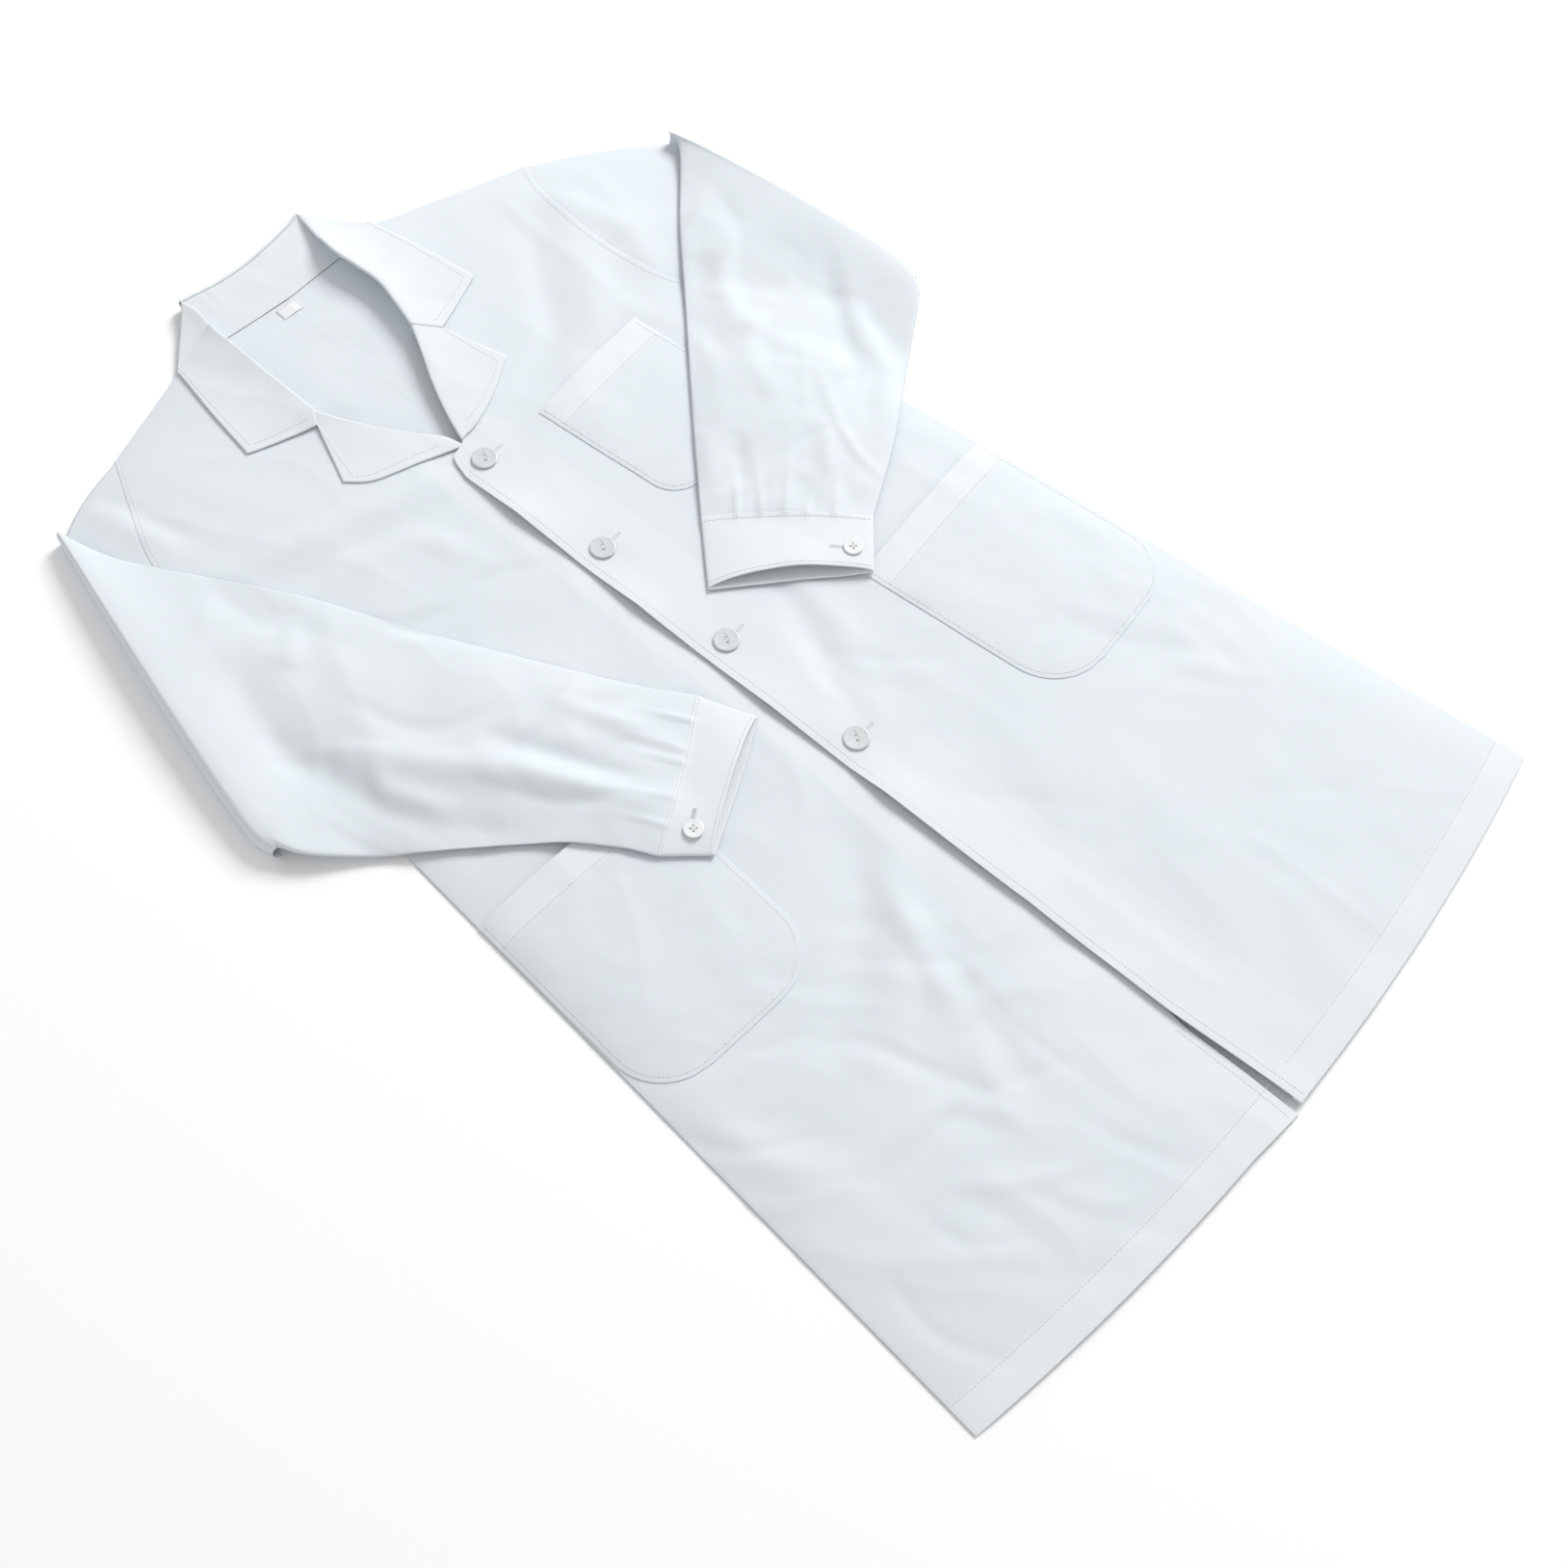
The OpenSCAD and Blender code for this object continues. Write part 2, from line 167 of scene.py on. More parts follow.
SLEEVE_FOLDS = {
    "left": [
        (2.4, 12, [(335, 680), (295, 635), (280, 595), (255, 570), (220, 550)]),
        (-1.6, 10, [(345, 720), (305, 670), (262, 612), (225, 578)]),
        (-1.4, 8, [(155, 570), (135, 550), (120, 540)]),
        (1.8, 8, [(205, 595), (180, 570), (150, 535)]),
        (1.8, 9, [(135, 660), (120, 640), (100, 620)]),
        (-1.4, 7, [(150, 640), (132, 618), (112, 600)]),
        (1.4, 14, [(330, 850), (280, 780), (220, 700), (160, 640)]),
        (0.5, 3, [(255, 660), (215, 625), (190, 600)]),
    ],
    "right": [
        (-3.2, 16, [(-215, 845), (-205, 805), (-200, 770), (-220, 755)]),
        (2.2, 10, [(-190, 775), (-210, 750), (-225, 740)]),
        (2.8, 12, [(-250, 665), (-220, 620), (-190, 570), (-170, 535), (-145, 490)]),
        (-2.6, 12, [(-280, 710), (-265, 665), (-255, 605), (-230, 555), (-200, 505)]),
        (1.8, 9, [(-225, 645), (-240, 630), (-245, 610), (-225, 565)]),
        (2.4, 9, [(-190, 595), (-165, 540), (-140, 485), (-125, 460)]),
        (-2.0, 8, [(-172, 600), (-148, 545), (-124, 490), (-108, 468)]),
        (1.8, 8, [(-120, 590), (-104, 545), (-88, 500), (-80, 480)]),
        (0.6, 3, [(-235, 780), (-260, 770), (-305, 745)]),
    ],
}
# Small creases: two corners of the area, how many, seed, direction in radians and strength.
FRONT_SCATTERS = {
    "left": [([(40, 60), (290, 930)], 34, 21, 1.9, 0.8)],
    "right": [([(-290, 40), (-40, 330)], 30, 22, 2.3, 1.0), ([(-230, 500), (-60, 930)], 18, 23, 2.8, 0.8)],
}
# Seed, how far a sleeve stands up, and the directions of its crumple and of its small creases.
SLEEVE_LOOSE = {"left": (201, 5.0, 0.7, 0.7), "right": (301, 6.0, -0.7, 2.2)}

# --- plan helpers

CELL = 2.0
LOW_X, HIGH_X, LOW_Y, HIGH_Y = -380, 410, -40, 1100
GRID = np.stack(
    np.meshgrid(np.arange(LOW_X, HIGH_X, CELL), np.arange(LOW_Y, HIGH_Y, CELL)), axis=-1
).astype(float)
GX, GY = GRID[..., 0], GRID[..., 1]


def ease(x):
    """0 below 0, 1 above 1, and smooth between."""
    x = np.clip(x, 0, 1)
    return x * x * (3 - 2 * x)


def hump(t):
    """0 at both ends and 1 half way."""
    return np.clip(np.sin(math.pi * t), 0, 1)


def even(points, count):
    """count + 1 points spaced evenly along the line through points."""
    points = np.asarray(points, float)
    along = np.concatenate([[0], np.cumsum(np.linalg.norm(np.diff(points, axis=0), axis=1))])
    at_length = np.linspace(0, along[-1], count + 1)
    return np.stack([np.interp(at_length, along, points[:, k]) for k in range(points.shape[1])], axis=1)


def smooth(points, count):
    """count + 1 points spaced evenly along a smooth curve through points."""
    p = [np.asarray(q, float) for q in points]
    ends = [2 * p[0] - p[1], *p, 2 * p[-1] - p[-2]]
    fine = []
    for a, b, c, d in zip(ends, ends[1:], ends[2:], ends[3:]):
        for t in np.linspace(0, 1, 12, endpoint=False):
            fine.append(
                0.5 * (2 * b + (c - a) * t + (2 * a - 5 * b + 4 * c - d) * t * t + (3 * b - a - 3 * c + d) * t**3)
            )
    return even([*fine, p[-1]], count)


def snapped(line, first, last):
    """The line with its ends moved to first and last, and the rest moved along with them."""
    share = np.linspace(0, 1, len(line))[:, None]
    return line + (1 - share) ** 2 * (first - line[0]) + share**2 * (last - line[-1])


def coons(bottom, top, left, right):
    """A grid of plan points between four lines. Its rows run from bottom to top."""
    left, right = snapped(left, bottom[0], top[0]), snapped(right, bottom[-1], top[-1])
    u = np.linspace(0, 1, len(bottom))[None, :, None]
    v = np.linspace(0, 1, len(left))[:, None, None]
    across = (1 - v) * bottom[None] + v * top[None]
    up = (1 - u) * left[:, None] + u * right[:, None]
    corner = (1 - v) * ((1 - u) * bottom[0] + u * bottom[-1]) + v * ((1 - u) * top[0] + u * top[-1])
    return across + up - corner


def distance(line, p):
    """How far each of p is from the line, and how far along it, from 0 to 1, the nearest place is."""
    line = np.asarray(line, float)
    steps = np.linalg.norm(np.diff(line, axis=0), axis=1)
    start = np.concatenate([[0], np.cumsum(steps)]) / steps.sum()
    best, share = np.full(p.shape[:-1], np.inf), np.zeros(p.shape[:-1])
    for k in range(len(line) - 1):
        d = line[k + 1] - line[k]
        t = np.clip(((p - line[k]) @ d) / (d @ d), 0, 1)
        away = np.linalg.norm(p - line[k] - t[..., None] * d, axis=-1)
        near = away < best
        best = np.where(near, away, best)
        share = np.where(near, start[k] + t * (start[k + 1] - start[k]), share)
    return best, share


def inside(outline, p):
    """Which of p lie in the closed outline."""
    x, y = p[..., 0], p[..., 1]
    found = np.zeros(x.shape, bool)
    for (x0, y0), (x1, y1) in zip(outline, [*outline[1:], outline[0]]):
        if y0 == y1:
            continue
        crosses = (y0 > y) != (y1 > y)
        found ^= crosses & (x < (x1 - x0) * (y - y0) / (y1 - y0) + x0)
    return found


def at(field, p):
    """The field's value at each plan point."""
    i = np.clip((p[..., 0] - LOW_X) / CELL, 0, field.shape[1] - 1.001)
    j = np.clip((p[..., 1] - LOW_Y) / CELL, 0, field.shape[0] - 1.001)
    i0, j0 = i.astype(int), j.astype(int)
    u, v = i - i0, j - j0
    low = (1 - u) * field[j0, i0] + u * field[j0, i0 + 1]
    high = (1 - u) * field[j0 + 1, i0] + u * field[j0 + 1, i0 + 1]
    return (1 - v) * low + v * high


def shifted(field, n, axis):
    """The field moved by n cells, its edge repeated."""
    i = np.clip(np.arange(field.shape[axis]) - n, 0, field.shape[axis] - 1)
    return np.take(field, i, axis)


def blur(field, width):
    """The field with its detail finer than width smoothed away."""
    taps = range(-int(2.5 * width / CELL), int(2.5 * width / CELL) + 1)
    weights = [math.exp(-0.5 * (n * CELL / width) ** 2) for n in taps]
    for axis in (0, 1):
        field = sum(w * shifted(field, n, axis) for n, w in zip(taps, weights)) / sum(weights)
    return field


def spread(field, reach):
    """Each cell raised to the highest cell within reach."""
    taps = range(-int(reach / CELL), int(reach / CELL) + 1)
    for axis in (0, 1):
        field = np.maximum.reduce([shifted(field, n, axis) for n in taps])
    return field


def noise(p, size, seed):
    """Smooth seeded noise, from about -1 to 1, in plan, with humps about size wide."""
    angle = np.random.default_rng(seed).uniform(0, 2 * math.pi, (64, 64))
    q = p / size
    cell = np.floor(q).astype(int)
    u, v = (q - cell)[..., 0], (q - cell)[..., 1]

    def corner(i, j):
        a = angle[(cell[..., 1] + j) % 64, (cell[..., 0] + i) % 64]
        return np.cos(a) * (u - i) + np.sin(a) * (v - j)

    fu, fv = u**3 * (u * (6 * u - 15) + 10), v**3 * (v * (6 * v - 15) + 10)
    low = corner(0, 0) + fu * (corner(1, 0) - corner(0, 0))
    high = corner(0, 1) + fu * (corner(1, 1) - corner(0, 1))
    return 1.5 * (low + fv * (high - low))


def crumple(seed, amount=1.0, lean=0.0):
    """The soft unevenness of cloth that lies loose. Lean turns its folds, in radians."""
    c, s = math.cos(lean), math.sin(lean)
    p = np.stack([GX * c + GY * s, 0.55 * (GY * c - GX * s)], axis=-1)
    warp = np.stack([noise(GRID, 130, seed + 1), noise(GRID, 130, seed + 2)], axis=-1)
    p = p + 26 * warp
    crease = 1 - 2.2 * np.abs(noise(p, 74, seed + 5))
    return amount * (
        1.1 * noise(p, 105, seed + 3)
        + 0.45 * noise(p, 44, seed + 4)
        + 0.5 * np.clip(crease, 0, 1) ** 2
        + 0.12 * noise(p, 17, seed + 6)
    )


def crease(field, points, height, width):
    """Adds a ridge along the line through points, or a valley where height is negative."""
    line = smooth(points, 8 * len(points))
    reach = 2.6 * width
    low = np.maximum(((line.min(0) - reach - (LOW_X, LOW_Y)) / CELL).astype(int), 0)
    high = ((line.max(0) + reach - (LOW_X, LOW_Y)) / CELL).astype(int) + 2
    window = (slice(low[1], high[1]), slice(low[0], high[0]))
    away, share = distance(line, GRID[window])
    fade = hump(share) ** 0.6
    field[window] += height * np.exp(-((away / width) ** 2)) * fade


def creases(field, rows):
    for height, width, points in rows:
        crease(field, points, height, width)


# --- heights of the cloth

SEAM_Z = 1.5
LOFT = 6.4
LOFT_REACH = 26
HEM_FLATNESS = 0.62
HEM_REACH = 42
LAP_DROP = 2.0


def hem_y(x):
    return HEM_RISE * (x / HEM_HALF) ** 2


def hem_line(x0, x1, count):
    x = np.linspace(x0, x1, count + 1)
    return np.stack([x, hem_y(x)], axis=1)


def near(away, reach):
    """1 at an edge, dying out with the distance from it."""
    return np.exp(-away / reach)


CLOSED_EDGES = [CUT[side][part] for side in SIDES for part in ("side", "cap_low", "cap_top", "shoulder")]
SILHOUETTE = [
    (-321, -30), (321, -30), (251.5, 765), (312, 694), (366, 634), (385, 640), (370, 900), (350, 890),
    (303, 928), (250, 962), (92, 1020), (-62, 1022), (-180, 985), (-222, 974), (-257, 958), (-272, 964),
    (-350, 640), (-331, 640), (-294, 700), (-251.5, 765)
]
edge_away = np.minimum.reduce([distance(line, GRID)[0] for line in CLOSED_EDGES])
edge_away = np.where(inside(SILHOUETTE, GRID), edge_away, 0)
above_hem = np.clip(GY - hem_y(GX), 0, None)
ROOT = SEAM_Z + LOFT * (1 - near(edge_away, LOFT_REACH)) * (1 - HEM_FLATNESS * near(above_hem, HEM_REACH))
LOOSE = ROOT + crumple(11, 1.15) * (1 - near(edge_away, 18)) * (1 - 0.6 * near(above_hem, 20))


def scatter(field, outline, count, seed, lean, strength):
    """Adds small creases at seeded places inside the outline, most of them near one direction."""
    rng = np.random.default_rng(seed)
    corners = np.array(outline, float)
    for _ in range(count):
        middle = rng.uniform(corners.min(0), corners.max(0))
        turn = lean + rng.normal(0, 0.45)
        bow = rng.uniform(-0.35, 0.35)
        reach = rng.uniform(28, 85)
        tips = []
        for end in (-1, 1):
            angle = turn + end * bow
            tips.append(middle + end * reach * np.array([math.cos(angle), math.sin(angle)]))
        height = strength * rng.choice([-1, 1]) * rng.uniform(0.4, 1.1)
        crease(field, [tips[0], middle, tips[1]], height, rng.uniform(4.5, 10))


def front_base(side):
    """A front's height, without the lap and the gape of its edge."""
    field = LOOSE.copy()
    creases(field, FRONT_FOLDS[side])
    for row in FRONT_SCATTERS[side]:
        scatter(field, *row)
    roll_away, _ = distance(smooth(CUT[side]["roll"], 60), GRID)
    back_away, _ = distance(smooth(ROLL_BACK, 30), GRID)
    rise = np.interp(GY, ROLL_YS, CUT[side]["rise"]) * near(roll_away, 24)
    return field + np.maximum(rise, 9.5 * near(back_away, 22))


def left_front(right):
    """The left front lies on the right one, and its edge gapes between the buttons."""
    on_right = right + LAP_DROP - 3.0 * ease((GX - 22) / 16)
    field = np.maximum(np.maximum(front_base("left"), on_right), SEAM_Z)
    gape = np.interp(
        GY,
        (0, 100, 150, 250, 350, 385, 405, 460, 510, 530, 590, 635, 655, 715, 760, 778, 800),
        (1.5, 2, 2, 3.2, 5.2, 0.8, 0.8, 3.4, 0.7, 0.7, 4.8, 0.8, 0.8, 5.2, 0.7, 0.7, 1),
    )
    return blur(field, 3) + gape * np.exp(-((np.clip(GX - EDGE_X, 0, None) / 20) ** 1.6))


EDGE_X = np.interp(GY, *[[p[k] for p in CUT["left"]["edge"]] for k in (1, 0)])
FRONT = {"right": np.maximum(front_base("right") - LAP_DROP * ease((GX + 40) / 30), SEAM_Z)}
FRONT["left"] = left_front(FRONT["right"])

# Each pocket's side, middle of its mouth, turn in degrees, width, height and corner radius.
POCKETS = {
    "chest_pocket": ("left", (126, 773), 4.8, 120, 140, 28),
    "hip_pocket_left": ("left", (197, 490), 4.4, 156, 184, 46),
    "hip_pocket_right": ("right", (-197, 490), -4.4, 156, 184, 46),
}
PATCH_GAP = 0.75


def pocket_local(name, p):
    """Plan points as (across, down) from the middle of the pocket's mouth."""
    _, (x, y), turn, *_ = POCKETS[name]
    c, s = math.cos(math.radians(turn)), math.sin(math.radians(turn))
    dx, dy = p[..., 0] - x, p[..., 1] - y
    return dx * c + dy * s, dx * s - dy * c


def pocket_plan(name, across, down):
    _, (x, y), turn, *_ = POCKETS[name]
    c, s = math.cos(math.radians(turn)), math.sin(math.radians(turn))
    return np.stack([x + across * c + down * s, y + across * s - down * c], axis=-1)


def pocket_rise(name, p):
    """How far the patch stands off the panel it is sewn to."""
    *_, w, h, r = POCKETS[name]
    across, down = pocket_local(name, p)
    side = np.clip(w / 2 - np.abs(across), 0, None)
    bottom = np.clip(h - down, 0, None)
    corner = r - np.hypot(np.clip(np.abs(across) - w / 2 + r, 0, None), np.clip(down - h + r, 0, None))
    sewn = np.minimum(np.minimum(side, bottom), np.where((side < r) & (bottom < r), corner, np.inf))
    sewn = np.clip(sewn, 0, None)
    mouth = near(np.clip(down, 0, None), 26)
    ripple = 0.5 * noise(p, 38, 71) + 0.25 * noise(p, 16, 72)
    pucker = 0.16 * np.sin(2 * math.pi * (across + down) / 9) * np.exp(-((sewn - 4) ** 2) / 14)
    return PATCH_GAP + (1 - near(sewn, 14)) * (1.5 + 1.7 * mouth + ripple) + pucker


STACK = np.where(GX > EDGE_X, FRONT["left"], FRONT["right"])
for pocket_name, (*_, w, h, _) in POCKETS.items():
    across, down = pocket_local(pocket_name, GRID)
    covered = (np.abs(across) < w / 2) & (down > 0) & (down < h)
    STACK = np.where(covered, STACK + pocket_rise(pocket_name, GRID), STACK)
UNDER_ARM = blur(spread(STACK, 10), 7) + 1.1

# --- meshes

low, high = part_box("front_button_4")
CENTRE = (low + high) / 2 / MM
HEM_MIDDLE = np.array([CENTRE.x - BUTTON_X, CENTRE.y - BUTTON_YS[3], 0.0])
FLOOR_CLEAR = 0.1
UP = np.array([0, 0, 1.0])


def metres(points):
    """Plan points with a height, in the row frame."""
    points = np.asarray(points, float).copy()
    points[..., 2] = np.maximum(points[..., 2], FLOOR_CLEAR)
    return (points + HEM_MIDDLE) * MM


def place(x, y, z):
    return Vector((np.array([x, y, z]) + HEM_MIDDLE) * MM)


def mesh_object(name, points, faces, material, rounded=True):
    mesh = bpy.data.meshes.new(name)
    mesh.from_pydata(points.reshape(-1, 3).tolist(), [], faces)
    mesh.validate()
    mesh.polygons.foreach_set("use_smooth", [rounded] * len(mesh.polygons))
    mesh.materials.append(material)
    obj = bpy.data.objects.new(name, mesh)
    bpy.context.scene.collection.objects.link(obj)
    return obj


def grid_faces(rows, columns, closed=False):
    i, j = np.meshgrid(np.arange(rows - 1), np.arange(columns if closed else columns - 1), indexing="ij")
    right = (j + 1) % columns
    corners = [i * columns + j, i * columns + right, (i + 1) * columns + right, (i + 1) * columns + j]
    return np.stack(corners, axis=-1).reshape(-1, 4)


def lifted(plan, z):
    return np.concatenate([plan, z[..., None]], axis=-1)


TURN_STEPS = 4


def turned_under(grid, radius, depth):
    """The grid with its first row folded under on a half circle, and depth of cloth beneath."""
    edge = grid[0]
    out = edge - grid[1]
    out[:, 2] = 0
    out = out / np.maximum(np.linalg.norm(out, axis=1, keepdims=True), 1e-6)
    rows = [edge - out * depth - 2 * radius * UP]
    for k in range(TURN_STEPS, 0, -1):
        a = math.pi * k / TURN_STEPS
        rows.append(edge + out * radius * math.sin(a) - radius * (1 - math.cos(a)) * UP)
    return np.concatenate([np.array(rows), grid])


def hemmed(grid, sides, radius=0.45, depth=6):
    """The grid with the named sides folded under."""
    for side in sides:
        way = -1 if side in ("top", "right") else 1
        if side in ("left", "right"):
            grid = turned_under(grid.swapaxes(0, 1)[::way], radius, depth)[::way].swapaxes(0, 1)
        else:
            grid = turned_under(grid[::way], radius, depth)[::way]
    return grid


def solidify(obj, thickness):
    shell = obj.modifiers.new("thickness", "SOLIDIFY")
    shell.thickness = thickness * MM
    shell.offset = -1
    shell.use_even_offset = False
    even_light = obj.modifiers.new("edges", "WEIGHTED_NORMAL")
    even_light.mode = "FACE_AREA"
    even_light.weight = 90


def diagonals(grid):
    return grid[1:, 1:] - grid[:-1, :-1], grid[1:, :-1] - grid[:-1, 1:]


def turn_outwards(obj):
    """Turns a closed tube's faces outwards."""
    middle = np.mean([v.co.z for v in obj.data.vertices])
    if sum(f.area * f.normal.z * (f.center.z - middle) for f in obj.data.polygons) < 0:
        obj.data.flip_normals()


def cloth(name, grid, plies=0.0, thickness=0.5, closed=False, material=None):
    """A sheet or closed tube of cloth from a grid of points. A sheet's outer face is up."""
    faces = grid_faces(*grid.shape[:2], closed)
    if not closed and np.cross(*diagonals(grid))[..., 2].sum() < 0:
        faces = faces[:, ::-1]
    obj = mesh_object(name, metres(grid), faces.tolist(), material or COTTON)
    # The ply mask is stored on the mesh for the cotton's painted shade: greyer single ply, whiter double ply.
    ply_shade_attribute = obj.data.attributes.new("plies", "FLOAT", "POINT")
    ply_shade_attribute.data.foreach_set("value", np.broadcast_to(plies, grid.shape[:2]).astype(np.float32).ravel())
    solidify(obj, thickness)
    if closed:
        turn_outwards(obj)
    return obj


CUT_EASE = 1.002
LEAST_AREA_SHARE = 0.301


def declare(grid):
    """Works out how large the sheet is laid flat: its widest row, longest column and area. The results are not
    kept.
    """
    width = np.linalg.norm(np.diff(grid, axis=1), axis=-1).sum(1).max() * MM * CUT_EASE
    length = np.linalg.norm(np.diff(grid, axis=0), axis=-1).sum(0).max() * MM * CUT_EASE
    area = 0.5 * np.linalg.norm(np.cross(*diagonals(grid)), axis=-1).sum() * MM * MM
    area = max(area, LEAST_AREA_SHARE * width * length)


def sheet_for(nodes, name, grid, held, rests_on=(), slot="cotton", **looks):
    """A sheet of cloth that stands for CAD nodes. Looks are cloth's own settings."""
    obj = cloth(name, grid, **looks)
    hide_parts(*nodes)
    declare(grid)
    return obj


STITCH_PITCH = 3.0
STITCH_LENGTH = 2.3
STITCH_R = 0.3
DASH_ENDS = ((-0.5, 0.35), (-0.25, 1.0), (0.25, 1.0), (0.5, 0.35))


def thread_dashes(name, centres, ways, length=STITCH_LENGTH, radius=STITCH_R):
    """One mesh of closed, slightly rounded dashes of thread at centres, pointing along ways."""
    centres, ways = np.array(centres, float), np.array(ways, float)
    ways = ways / np.maximum(np.linalg.norm(ways, axis=1, keepdims=True), 1e-6)
    sides = np.stack([-ways[:, 1], ways[:, 0], np.zeros(len(ways))], axis=1)
    sides /= np.maximum(np.linalg.norm(sides, axis=1, keepdims=True), 1e-6)
    rings = []
    for reach, size in DASH_ENDS:
        middle = centres + ways * reach * length
        rings += [middle + sides * radius * size, middle + UP * radius * size * 0.8]
        rings += [middle - sides * radius * size, middle - UP * radius * size * 0.8]
    one = np.concatenate([grid_faces(len(DASH_ENDS), 4, closed=True), [[3, 2, 1, 0], [12, 13, 14, 15]]])
    faces = (one[None] + len(rings) * np.arange(len(centres))[:, None, None]).reshape(-1, 4)
    obj = mesh_object(name, metres(np.stack(rings, axis=1)), faces.tolist(), THREAD)
    return obj


def stitched(name, lines, lift=0.1):
    """One mesh of stitches along lines of points that carry their own height."""
    centres, ways = [], []
    for line in lines:
        length = np.linalg.norm(np.diff(line, axis=0), axis=1).sum()
        spots = even(line, max(2, 2 * int(length / STITCH_PITCH)))
        centres.append(spots[1:-1:2] + lift * UP)
        ways.append(spots[2::2] - spots[:-2:2])
    return thread_dashes(name, np.concatenate(centres), np.concatenate(ways))


def on_field(field, points, count):
    """An evenly spaced plan line laid on a height field."""
    line = even(points, count)
    return lifted(line, at(field, line))

# --- materials


def nodes_of(name):
    material = bpy.data.materials.new(name)
    material.use_nodes = True
    tree = material.node_tree
    return material, tree, tree.nodes["Principled BSDF"]


def feed(tree, node, sockets):
    """Sets a node's sockets. A value that is another node's output is linked."""
    for key, value in sockets.items():
        if isinstance(value, bpy.types.NodeSocket):
            tree.links.new(value, node.inputs[key])
        else:
            node.inputs[key].default_value = value


def add(tree, kind, sockets, **settings):
    """A new node's outputs."""
    node = tree.nodes.new(kind)
    for key, value in settings.items():
        setattr(node, key, value)
    feed(tree, node, sockets)
    return node.outputs


def mixed(tree, share, first, second):
    """The mix of two colours."""
    sockets = {"A": (*first, 1), "B": (*second, 1), "Factor": share}
    return add(tree, "ShaderNodeMix", sockets, data_type="RGBA")["Result"]


def cotton_material():
    """Plain-woven white cotton: weave, slubs and a soft sheen, with painted shade: single-ply cloth is painted
    greyer and double-ply cloth whiter, standing in for the shade beneath showing through thin cloth.
    """
    material, tree, shader = nodes_of("cotton")
    spot = add(tree, "ShaderNodeTexCoord", {})["Object"]
    yarn = {"Vector": spot, "Scale": 560.0, "Distortion": 1.2, "Detail": 1.0, "Detail Scale": 0.4}
    waves = [add(tree, "ShaderNodeTexWave", yarn, bands_direction=way)["Fac"] for way in ("X", "Y")]
    weave = add(tree, "ShaderNodeMath", {0: waves[0], 1: waves[1]}, operation="MULTIPLY")[0]
    slub = add(tree, "ShaderNodeTexNoise", {"Vector": spot, "Scale": 420.0, "Detail": 4.0, "Roughness": 0.6})
    relief = add(tree, "ShaderNodeMath", {0: weave, 1: slub["Fac"]}, operation="ADD")[0]
    bump = add(tree, "ShaderNodeBump", {"Strength": 0.35, "Distance": 0.00012, "Height": relief})
    cloud = add(tree, "ShaderNodeTexNoise", {"Vector": spot, "Scale": 9.0, "Detail": 5.0, "Roughness": 0.55})
    tint = add(
        tree, "ShaderNodeMapRange", {"From Min": 0.3, "From Max": 0.7, "To Max": 0.3, "Value": cloud["Fac"]}
    )
    # Painted shade: the ply mask mixes a greyer single-ply colour with a whiter double-ply colour, standing in
    # for light through thin cloth.
    plies = add(tree, "ShaderNodeAttribute", {}, attribute_name="plies")["Fac"]
    share = add(tree, "ShaderNodeMath", {0: plies, 1: 0.7, 2: tint["Result"]}, operation="MULTIPLY_ADD")[0]
    feed(tree, shader, {
        "Normal": bump["Normal"],
        "Base Color": mixed(tree, share, (0.70, 0.74, 0.768), (0.76, 0.785, 0.805)),
        "Roughness": 0.86,
        "Specular IOR Level": 0.25,
        "Sheen Weight": 0.12,
        "Sheen Roughness": 0.45,
    })
    return material


def plain_material(name, colour, roughness, detail, **finish):
    """A smooth material with a faint cloudiness in its colour and a fine bump."""
    material, tree, shader = nodes_of(name)
    spot = add(tree, "ShaderNodeTexCoord", {})["Object"]
    cloud = add(tree, "ShaderNodeTexNoise", {"Vector": spot, "Scale": detail, "Detail": 4.0})["Fac"]
    bump = add(tree, "ShaderNodeBump", {"Strength": 0.2, "Distance": 0.0001, "Height": cloud})["Normal"]
    darker, lighter = [c * 0.86 for c in colour], [min(1, c * 1.08) for c in colour]
    look = {"Base Color": mixed(tree, cloud, darker, lighter), "Normal": bump, "Roughness": roughness}
    feed(tree, shader, look)
    feed(tree, shader, {key.replace("_", " "): value for key, value in finish.items()})
    return material


COTTON = cotton_material()
PEARL = plain_material("pearl_button", (0.63, 0.66, 0.665), 0.34, 240, Coat_Weight=0.2, Coat_Roughness=0.2)
WHITE_BUTTON = plain_material("white_button", (0.84, 0.85, 0.85), 0.18, 160, Coat_Weight=0.4)
THREAD = plain_material("thread", (0.75, 0.775, 0.79), 0.7, 2600, Sheen_Weight=0.2)
LABEL = plain_material("label", (0.82, 0.82, 0.83), 0.45, 1800)

# --- camera, light and floor

AZIMUTH, ELEVATION, ROLL = map(math.radians, (-49.98, 61.80, 1.13))
AIM = (-51.35, 413.36, 0)
FROM_AIM = 1.5193


def add_camera():
    """Looks down on the coat from its lower left, rolled a little."""
    flat = math.cos(ELEVATION)
    back = Vector((math.sin(AZIMUTH) * flat, -math.cos(AZIMUTH) * flat, math.sin(ELEVATION)))
    right = Vector((0, 0, 1)).cross(back).normalized()
    up = back.cross(right)
    c, s = math.cos(ROLL), math.sin(ROLL)
    right, up = c * right + s * up, -s * right + c * up
    camera = bpy.data.objects.new("camera", bpy.data.cameras.new("camera"))
    camera.data.lens = 49.02
    camera.data.sensor_width = 36
    camera.data.clip_end = 20
    camera.location = place(*AIM) + back * FROM_AIM
    camera.rotation_mode = "QUATERNION"
    turn = camera.rotation_quaternion.to_matrix()
    turn.col[0], turn.col[1], turn.col[2] = right, up, back
    camera.rotation_quaternion = turn.to_quaternion()
    bpy.context.scene.collection.objects.link(camera)
    bpy.context.scene.camera = camera


